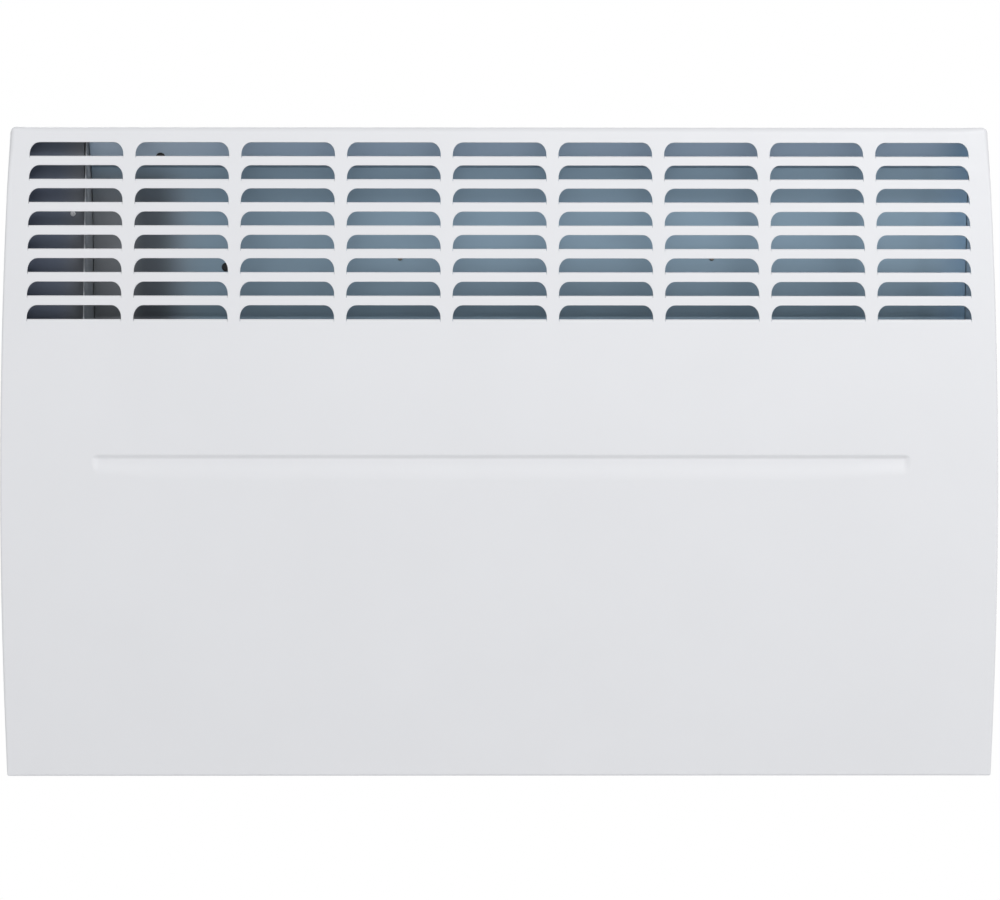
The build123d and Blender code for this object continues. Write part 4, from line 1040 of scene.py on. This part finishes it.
class HEATER_OT_stage(bpy.types.Operator):
    """Sets the camera, the lights, the white surroundings and the floor"""

    bl_idname = "heater.stage"
    bl_label = "Stage"

    def execute(self, context):
        stage = context.scene.heater_stage
        context.scene.view_settings.view_transform = "Standard"
        camera = bpy.data.objects.new("camera", bpy.data.cameras.new("camera"))
        context.scene.collection.objects.link(camera)
        camera.data.lens = stage.lens
        camera.data.sensor_width = SENSOR_WIDTH
        camera.data.clip_start = NEAREST_SEEN
        camera.location = stage.camera_place
        camera.rotation_euler = (pi / 2 + stage.camera_pitch, 0, stage.camera_yaw)
        context.scene.camera = camera
        for name, (place, extent, share) in LIGHTS.items():
            self.light(context, name, place, extent, stage.key * share)
        self.surroundings(context, stage)
        self.floor(context, stage)
        return {"FINISHED"}

    def light(self, context, name, place, extent, power):
        """A soft light that faces the heater's middle."""
        lamp = bpy.data.lights.new(name, "AREA")
        lamp.shape = "RECTANGLE"
        lamp.size, lamp.size_y = extent
        lamp.energy = power
        light = bpy.data.objects.new(name, lamp)
        context.scene.collection.objects.link(light)
        light.location = place
        light.rotation_euler = (-Vector(place)).to_track_quat("-Z", "Y").to_euler()

    def surroundings(self, context, stage):
        """Soft light from all round, and white to the camera, in reflections and through glass."""
        world = bpy.data.worlds.new("white_surroundings")
        context.scene.world = world
        world.use_nodes = True
        tree = world.node_tree
        # The soft light is a little stronger from in front, and weaker from overhead.
        rear_share, overhead_share, rise_start, rise_end = 0.85, 0.3, 0.1, 0.8
        place = add_node(tree, "ShaderNodeTexCoord").outputs["Generated"]
        split = add_node(tree, "ShaderNodeSeparateXYZ", {0: place}).outputs
        level = map_range(tree, split["Y"], -1, 1, stage.ambient, stage.ambient * rear_share)
        overhead = map_range(tree, split["Z"], rise_start, rise_end, 1, overhead_share)
        soft = tree.nodes["Background"]
        soft.inputs["Color"].default_value = SOFT_LIGHT
        tree.links.new(arithmetic(tree, "MULTIPLY", level, overhead), soft.inputs["Strength"])
        white = add_node(tree, "ShaderNodeBackground", {"Color": WHITE})
        rays = add_node(tree, "ShaderNodeLightPath").outputs
        seen = rays["Is Camera Ray"]
        for kind in ("Is Glossy Ray", "Is Transmission Ray"):
            seen = arithmetic(tree, "MAXIMUM", seen, rays[kind])
        shown = mixed_shader(tree, seen, soft.outputs[0], white.outputs[0])
        tree.links.new(shown, tree.nodes["World Output"].inputs["Surface"])

    def floor(self, context, stage):
        """A round pale floor that fades to white towards its edge."""
        rings, segments = 24, 96
        points = [Vector((0, 0, 0))]
        for ring in range(1, rings + 1):
            reach = stage.floor_radius * ring / rings
            turns = [2 * pi * n / segments for n in range(segments)]
            points += [Vector((reach * cos(turn), reach * sin(turn), 0)) for turn in turns]
        faces = []
        for n, m in around(segments):
            faces.append([0, 1 + n, 1 + m])
            for ring in range(rings - 1):
                inner, outer = 1 + ring * segments, 1 + (ring + 1) * segments
                faces.append([inner + n, outer + n, outer + m, inner + m])
        mesh = bpy.data.meshes.new("floor")
        mesh.from_pydata(points, [], faces)
        mesh.materials.append(self.floor_finish(stage))
        floor = bpy.data.objects.new("floor", mesh)
        context.scene.collection.objects.link(floor)
        floor.location = (0, 0, -stage.floor_drop)

    def floor_finish(self, stage):
        """Matt and pale, and a plain white glow towards the floor's edge."""
        tone, matt_roughness = 0.86, 0.8
        fade_start, fade_end, least_glow = 0.35, 0.98, 0.35
        material = bpy.data.materials.new("pale_floor")
        material.use_nodes = True
        tree = material.node_tree
        matt = tree.nodes["Principled BSDF"]
        matt.inputs["Base Color"].default_value = (tone, tone, tone, 1)
        matt.inputs["Roughness"].default_value = matt_roughness
        glow = add_node(tree, "ShaderNodeEmission")
        place = add_node(tree, "ShaderNodeTexCoord").outputs["Object"]
        away = add_node(tree, "ShaderNodeVectorMath", {0: place}, operation="LENGTH").outputs["Value"]
        start, end = stage.floor_radius * fade_start, stage.floor_radius * fade_end
        fade = map_range(tree, away, start, end, least_glow, 1, "SMOOTHSTEP")
        shown = mixed_shader(tree, fade, matt.outputs[0], glow.outputs[0])
        tree.links.new(shown, tree.nodes["Material Output"].inputs["Surface"])
        return material


class HEATER_OT_finishes(bpy.types.Operator):
    """Gives every piece of the frame its finish and breaks its sharp edges"""

    bl_idname = "heater.finishes"
    bl_label = "Finishes"

    def execute(self, context):
        slots = {part["node"]: part["material_slot"] for part in frame["record"]["subparts"]}
        for name, node in nodes.items():
            slot = slots[name]
            material = finish_named(OWN_FINISHES.get(name, slot))
            if not node.material_slots:
                node.data.materials.append(material)
            for holder in node.material_slots:
                holder.material = material
            if slot in EDGE_BREAKS:
                weld = node.modifiers.new("weld", "WELD")
                weld.merge_threshold = WELD_REACH
                bevel = node.modifiers.new("broken_edges", "BEVEL")
                bevel.width = EDGE_BREAKS[slot] * MM
                bevel.segments = EDGE_SEGMENTS
                bevel.limit_method = "ANGLE"
                bevel.angle_limit = EDGE_ANGLE
                node.modifiers.new("even_normals", "WEIGHTED_NORMAL")
        return {"FINISHED"}


class HEATER_OT_cover(bpy.types.Operator):
    """Builds the pressed front cover with its louvres"""

    bl_idname = "heater.cover"
    bl_label = "Front cover"

    def execute(self, context):
        mesh = build_cover(context.scene.heater_cover)
        add_piece("cover_pressing", mesh, "casing", "white_enamel", ["front_cover"])
        return {"FINISHED"}


class HEATER_OT_fasteners(bpy.types.Operator):
    """Adds the screws and the rivets"""

    bl_idname = "heater.fasteners"
    bl_label = "Fasteners"

    def execute(self, context):
        self.casing()
        self.controls()
        self.duct(Vector(context.scene.heater_stage.camera_place) / MM)
        return {"FINISHED"}

    def casing(self):
        """The cover's side screws, and the rivets of the rear casing and the heat shield."""
        side_x, side_y, side_z = 336.4, -48, -150
        sides = [((-side_x, side_y, side_z), LEFT), ((side_x, side_y, side_z), RIGHT)]
        add_fasteners("cover_side_screws", pan_screw(7 * MM, 1.4 * MM), sides, "white_screw")
        # The partition and the end plate, the air deflector, and the element's brackets.
        places = [(x, z) for x in (-277.2, 320.7) for z in (-170, -90)]
        duct_middle, deflector_z, element_z, hole_height = 21.75, -54, -135, 14.67
        places += [(duct_middle + shift, deflector_z) for shift in (-210, 0, 210)]
        places += [(x, element_z + s * hole_height) for x in (-248.8, 292.3) for s in (-1, 1)]
        head_y, tail_y = -19.8, -18
        add_fasteners("panel_rivets", blind_rivet(6 * MM, 1.2 * MM),
                      [((x, head_y, z), FRONT) for x, z in places], "screw_zinc")
        add_fasteners("panel_rivet_tails", rivet_tail(3.2 * MM, 2.6 * MM),
                      [((x, tail_y, z), REAR) for x, z in places], "screw_zinc")
        # The heat shield is curved about the axis of the face, and its flanges lie at its ends.
        axis_y, shield_radius, flange = 1402, 1492, 9.6
        shield = [((x, axis_y - sqrt(shield_radius**2 - z**2) + flange, z), side)
                  for z in (-150, 40) for x, side in ((-284, LEFT), (327.5, RIGHT))]
        add_fasteners("shield_rivets", blind_rivet(6 * MM, 1.2 * MM), shield, "screw_zinc")

    def controls(self):
        """The screws of the control box, the terminals and the earth tag, and the box's lid."""
        box_x, box_flange_y, terminal_y = -298, -21, -36
        add_fasteners("box_screws", pan_screw(8 * MM, 2.2 * MM),
                      [((box_x, box_flange_y, z), FRONT) for z in (94.2, 200.2)], "screw_zinc")
        terminals = [(x, terminal_y, z) for x in (-314, -305, -296) for z in (-120.5, -103.5)]
        add_fasteners("terminal_screws", pan_screw(5 * MM, 1.2 * MM),
                      [(place, FRONT) for place in terminals], "plated_brass")
        add_fasteners("earth_screw", pan_screw(8 * MM, 2.4 * MM), [((-305, -20, -62), FRONT)], "screw_zinc")
        low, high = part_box("control_box")
        middle = (low + high) / 2
        brim, corner, thickness, ease = 1.2 * MM, 2 * MM, 0.8, 0.4 * MM
        lid = plate(rounded(high.x - low.x + brim, high.z - low.z, corner), thickness * MM, ease)
        lid = placed(lid, facing((middle.x + brim / 2, low.y, middle.z), FRONT))
        add_piece("box_lid", solid_mesh("box_lid", [lid]), "casing", "black_moulding",
                  finish="slate_moulding_painted_light")
        # The lid's screws take the white finish as a painted glint: their pale heads stand in for a
        # highlight.
        lid_x, lid_y = -292.6, low.y / MM - thickness
        add_fasteners("box_lid_screws", pan_screw(3.6 * MM, 1.1 * MM),
                      [((lid_x, lid_y, z), FRONT) for z in (162.6, 119)], "white_screw")

    def duct(self, eye):
        """The air deflector's fixings, each where the camera sees its place; the eye is in mm."""
        large = ((-234.0, -57, 203.7), (-190.4, -33, 129.2))
        small = ((-69, -33, 135.6), (148.6, -33, 135.6))
        for name, part, places, slot in (
            ("duct_push_rivets", turned(sized(PUSH_RIVET), 28), large, "black_moulding"),
            ("duct_rivet_tails", rivet_tail(2.6 * MM, 1.8 * MM), small, "sheath_steel"),
        ):
            seats = [seat("air_deflector", eye, Vector(place) - eye) for place in places]
            add_fasteners(name, part, seats, slot)


# The knob's outline from its foot: how far inside its radius and how high, in mm.
KNOB_SIDE = (
    (0.5, 0), (0.1, 0.15), (0, 0.5), (0, 1.5), (0.15, 1.9), (0.6, 2.1), (0.7, 2.4), (0.8, 4),
    (0.95, 7), (1.1, 9.6), (1.25, 10.8), (1.6, 11.6),
)
# The same over its rim: how far inside its radius and how far below its top.
KNOB_RIM = ((2.2, 0.35), (3, 0.06), (3.6, 0), (4.4, 0.1), (5.2, 0.35))
KNOB_FLUTES = 28
KNOB_FLUTE_STEPS = 8
KNOB_FLUTE_DEPTH = 0.7 * MM
KNOB_SHARP = 50.0
# The knob's numbers come to the mark one after another as it is turned.
SCALE_STEP = radians(47.5)
# The profile of the rocker's off mark, in mm.
OFF_RING = ((1.1, -0.2), (1.9, -0.2), (1.9, 0.05), (1.86, 0.08), (1.14, 0.08), (1.1, 0.05), (1.1, -0.2))


class HEATER_OT_knob(bpy.types.Operator):
    """Builds the fluted thermostat knob"""

    bl_idname = "heater.knob"
    bl_label = "Thermostat knob"

    def execute(self, context):
        low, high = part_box("thermostat_knob")
        height, radius = high.x - low.x, (high.z - low.z) / 2
        dish = height - 0.4 * MM
        profile = [(0, 0), (radius * 0.6, 0)]
        profile += [(radius - inset * MM, rise * MM) for inset, rise in KNOB_SIDE]
        profile += [(radius - inset * MM, height - drop * MM) for inset, drop in KNOB_RIM]
        profile += [(radius * 0.3, dish), (0, dish)]
        points, faces = turned(profile, KNOB_FLUTES * KNOB_FLUTE_STEPS)
        for point in points:
            self.flute(point, radius, height)
        place = facing((high.x, (low.y + high.y) / 2, (low.z + high.z) / 2), LEFT)
        mesh = solid_mesh("knob_cap", [placed((points, faces), place)], KNOB_SHARP)
        add_piece("knob_cap", mesh, "knob", "grey_moulding", ["thermostat_knob"])
        return {"FINISHED"}

    def flute(self, point, radius, height):
        """Draws a point of the knob's side in where a flute is, between its skirt and its rim."""
        skirt_top, skirt_blend, rim_depth, rim_blend = 2.1 * MM, 0.5 * MM, 0.2 * MM, 1.2 * MM
        above_skirt = clamped((point.z - skirt_top) / skirt_blend)
        below_rim = clamped((height - rim_depth - point.z) / rim_blend)
        fluted = above_skirt * below_rim
        least_share = 0.7
        reach = sqrt(point.x**2 + point.y**2)
        if fluted and reach > radius * least_share:
            turn = Vector((point.x, point.y)).angle_signed(Vector((1, 0)))
            inward = KNOB_FLUTE_DEPTH * fluted * (0.5 + 0.5 * cos(KNOB_FLUTES * turn)) ** 2
            scale = (reach - inward) / reach
            point.x, point.y = point.x * scale, point.y * scale


class HEATER_OT_marks(bpy.types.Operator):
    """Adds the knob's scale, the mark beside it and the rocker's on and off marks"""

    bl_idname = "heater.marks"
    bl_label = "Scale and marks"

    def execute(self, context):
        before_side, mark_rise, on_rise, off_rise, dish = -400, 21, 5, -5, 0.4 * MM
        low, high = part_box("thermostat_knob")
        y, z = (low.y + high.y) / 2, (low.z + high.z) / 2
        self.knob_scale(context, Vector((low.x + dish, y, z)))
        place, normal = seat("control_fascia", (before_side, y / MM, z / MM + mark_rise), RIGHT)
        arrow = plate(sized(((0, -1.6), (1.5, 1.2), (-1.5, 1.2))), 0.1 * MM, 0.04 * MM)
        mark = placed(arrow, facing(place * MM, normal))
        add_piece("fascia_mark", solid_mesh("fascia_mark", [mark]), "casing", "black_moulding")
        low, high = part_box("switch_rocker")
        y, z = (low.y + high.y) / 2 / MM, (low.z + high.z) / 2 / MM
        bar = plate(rounded(0.8 * MM, 3.6 * MM, 0.35 * MM), 0.08 * MM, 0.03 * MM)
        ring = turned(sized(OFF_RING), 32)
        marks = []
        for part, rise in ((bar, on_rise), (ring, off_rise)):
            place, normal = seat("switch_rocker", (before_side, y, z + rise), RIGHT)
            marks.append(placed(part, facing(place * MM, normal)))
        add_piece("rocker_marks", solid_mesh("rocker_marks", marks), "rocker", "white_moulding")
        return {"FINISHED"}

    def knob_scale(self, context, face):
        """The numbers 1 to 6 round the knob's face, and its pointer."""
        ring_radius = 7.3
        scale = []
        for number in range(1, 7):
            turn = SCALE_STEP * number
            middle = face + Vector((0, -sin(turn), cos(turn))) * ring_radius * MM
            scale.append(placed(self.numeral(context, str(number)), facing(middle, LEFT, -turn)))
        pointer = sized(((-0.45, 5.2), (0.45, 5.2), (0.45, 9.4), (-0.45, 9.4)))
        scale.append(placed(plate(pointer, 0.15 * MM, 0.05 * MM), facing(face, LEFT)))
        add_piece("knob_scale", solid_mesh("knob_scale", scale), "knob", "white_moulding")

    def numeral(self, context, text):
        """One raised numeral as a part."""
        height, thickness = 4.2 * MM, 0.12 * MM
        curve = bpy.data.curves.new("numeral", "FONT")
        curve.body, curve.size, curve.extrude = text, height, thickness
        curve.align_x, curve.align_y = "CENTER", "CENTER"
        curve.resolution_u = 4
        shown = bpy.data.objects.new("numeral", curve)
        context.scene.collection.objects.link(shown)
        mesh = bpy.data.meshes.new_from_object(shown.evaluated_get(context.evaluated_depsgraph_get()))
        part = [v.co.copy() for v in mesh.vertices], [list(p.vertices) for p in mesh.polygons]
        bpy.data.objects.remove(shown)
        bpy.data.meshes.remove(mesh)
        return part


# Routes of the wires and of the sensor's capillary, in mm.
SUPPLY_ROUTE = (
    (-314, -27, -95), (-314, -27, -70), (-314, -27, -2), (-314, -28, 12), (-300, -40, 34),
    (-290.6, -46, 52), (-290.6, -46, 66), (-290.6, -46, 180), (-291, -46, 189.2), (-298, -46, 189.2),
    (-306.66, -46, 189.2),
)
SWITCH_ROUTE = (
    (-306.66, -54, 175.2), (-298, -54, 175.2), (-290.6, -54, 175.2), (-290.6, -54, 166),
    (-290.6, -54, 140), (-290.6, -54, 131.2), (-295, -54, 131.2), (-301.1, -54, 131.2),
)
WARM_ROUTE = (
    (-301.1, -60, 115.2), (-296, -60, 115.2), (-290.6, -60, 115.2), (-290.6, -60, 106),
    (-290.6, -60, 72), (-290.6, -60, 60), (-300, -56, 38), (-307, -54, 18), (-307, -54, 4),
    (-307, -54, -64), (-307, -54, -74.5), (-303, -54, -74.5), (-298, -54, -74.5),
)
HOT_ROUTE = (
    (-298, -54, -81.5), (-303, -54, -81.5), (-307, -54, -81.5), (-307, -54, -92), (-307, -54, -122),
    (-307, -54, -135), (-294, -54, -135), (-267.2, -54, -135),
)
NEUTRAL_ROUTE = (
    (-296, -27, -129), (-296, -27, -150), (-296, -27, -178), (-296, -27, -190), (-284, -27, -190),
    (-264, -27, -190), (-150, -27, -190), (20, -27, -190), (190, -27, -190), (292, -27, -190),
    (316, -27, -190), (317.7, -34, -184), (317.7, -52, -164), (317.7, -54, -150), (317.7, -54, -138),
    (317.7, -54, -135), (314, -54, -135), (310.7, -54, -135),
)
EARTH_ROUTE = ((-305, -27, -95), (-305, -27, -90), (-305, -27, -80), (-305, -22, -76), (-305, -21.3, -69))
CAPILLARY_ROUTE = (
    (-323, -27, -146), (-323, -27, -130), (-323, -27, 16), (-323, -27, 32), (-318, -34, 48),
    (-314.3, -40, 62), (-314.3, -40, 74), (-314.3, -40, 105.2),
)
WIRE_RADIUS = 1.3 * MM
CAPILLARY_RADIUS = 0.8 * MM
# The profile of the grommet round the blue wire, in mm.
GROMMET = (
    (2.5, -1.6), (3.4, -2), (5.8, -2), (6.2, -1.5), (6.2, 1.5), (5.8, 2), (3.4, 2), (2.5, 1.6), (2.5, -1.6),
)


class HEATER_OT_wiring(bpy.types.Operator):
    """Runs the round wires and the sensor's capillary"""

    bl_idname = "heater.wiring"
    bl_label = "Wiring"

    def execute(self, context):
        brown = [SUPPLY_ROUTE, SWITCH_ROUTE, WARM_ROUTE, HOT_ROUTE]
        add_wire("brown_wires", brown, WIRE_RADIUS, "brown_insulation", "live_wires")
        add_wire("blue_wire", [NEUTRAL_ROUTE], WIRE_RADIUS, "blue_insulation", "neutral_wire")
        add_wire("copper_capillary", [CAPILLARY_ROUTE], CAPILLARY_RADIUS, "copper", "sensor_capillary")
        add_wire("earth_lead", [EARTH_ROUTE], WIRE_RADIUS, "green_yellow_insulation", "earth_wire")
        tag_middle, window_middle = (-305, -19, -61.5), (-283.6, -27, -190)
        tag = plate(rounded(7 * MM, 15 * MM, 3 * MM), 1 * MM, 0.1 * MM, 0)
        tag = placed(tag, facing([c * MM for c in tag_middle], FRONT))
        add_piece("earth_tag", solid_mesh("earth_tag", [tag]), "casing", "plated_brass")
        self.clips()
        grommet = placed(turned(sized(GROMMET), 32), facing([c * MM for c in window_middle], RIGHT))
        add_piece("wire_grommet", solid_mesh("wire_grommet", [grommet]), "casing", "black_rubber")
        return {"FINISHED"}

    def clips(self):
        """Saddles that hold the blue wire to the casing, each with its rivet."""
        wire_y, wire_z, inner, outer, width = -27, -190, 1.8, 2.8, 3
        foot, heel, thickness, rivet_rise = 8, 3.6, 1, 5.4
        saddles, rivets = [], []
        for x in (-150, 20, 190):
            place, _ = seat("rear_casing", (x, -60, wire_z), REAR)
            reach = place.y - wire_y
            turns = [n * pi / 10 for n in range(11)]
            arch, inside = [[(r * cos(t), reach + r * sin(t)) for t in turns] for r in (outer, inner)]
            outline = [(inner, 0), (foot, 0), (foot, thickness), (outer, thickness), *arch,
                       (-outer, thickness), (-heel, thickness), (-heel, 0), (-inner, 0), *reversed(inside)]
            saddle = plate(sized(outline), width * MM, 0.1 * MM, width * MM)
            # The outline stands on the casing, its first axis up and its second to the front.
            turn = Matrix(((0, 0, 1), (0, -1, 0), (1, 0, 0))).to_4x4()
            saddles.append(placed(saddle, Matrix.Translation(place * MM) @ turn))
            rivets.append((place + Vector((0, -thickness, rivet_rise)), FRONT))
        add_piece("wire_saddles", solid_mesh("wire_saddles", saddles), "casing", "natural_nylon")
        add_fasteners("saddle_rivets", blind_rivet(3.6 * MM, 0.8 * MM), rivets, "screw_zinc")


# ---- Panel and registration ----------------------------------------------------------------


class HEATER_PT_panel(bpy.types.Panel):
    """Lists the steps that dress the heater"""

    bl_idname = "HEATER_PT_panel"
    bl_label = "Heater"
    bl_space_type = "VIEW_3D"
    bl_region_type = "UI"
    bl_category = "Heater"

    def draw(self, context):
        for step in STEPS:
            self.layout.operator(step.bl_idname)
        for group in SETTINGS:
            settings = getattr(context.scene, group)
            box = self.layout.box()
            for name in settings.bl_rna.properties.keys():
                if name not in ("rna_type", "name"):
                    box.prop(settings, name)


SETTINGS = {
    "heater_cover": HeaterCoverSettings,
    "heater_finish": HeaterFinishSettings,
    "heater_stage": HeaterStageSettings,
}
STEPS = (
    HEATER_OT_stage,
    HEATER_OT_finishes,
    HEATER_OT_cover,
    HEATER_OT_fasteners,
    HEATER_OT_knob,
    HEATER_OT_marks,
    HEATER_OT_wiring,
)


def register():
    """Registers the settings, the operators and the panel."""
    for kind in (*SETTINGS.values(), *STEPS, HEATER_PT_panel):
        bpy.utils.register_class(kind)
    for name, group in SETTINGS.items():
        setattr(bpy.types.Scene, name, PointerProperty(type=group))


def unregister():
    """Takes the settings, the operators and the panel away again."""
    for name in SETTINGS:
        delattr(bpy.types.Scene, name)
    for kind in (HEATER_PT_panel, *reversed(STEPS), *SETTINGS.values()):
        bpy.utils.unregister_class(kind)


def main():
    """Dresses the heater."""
    register()
    for step in STEPS:
        getattr(bpy.ops.heater, step.bl_idname.split(".")[1])()


if __name__ == "__main__":
    main()
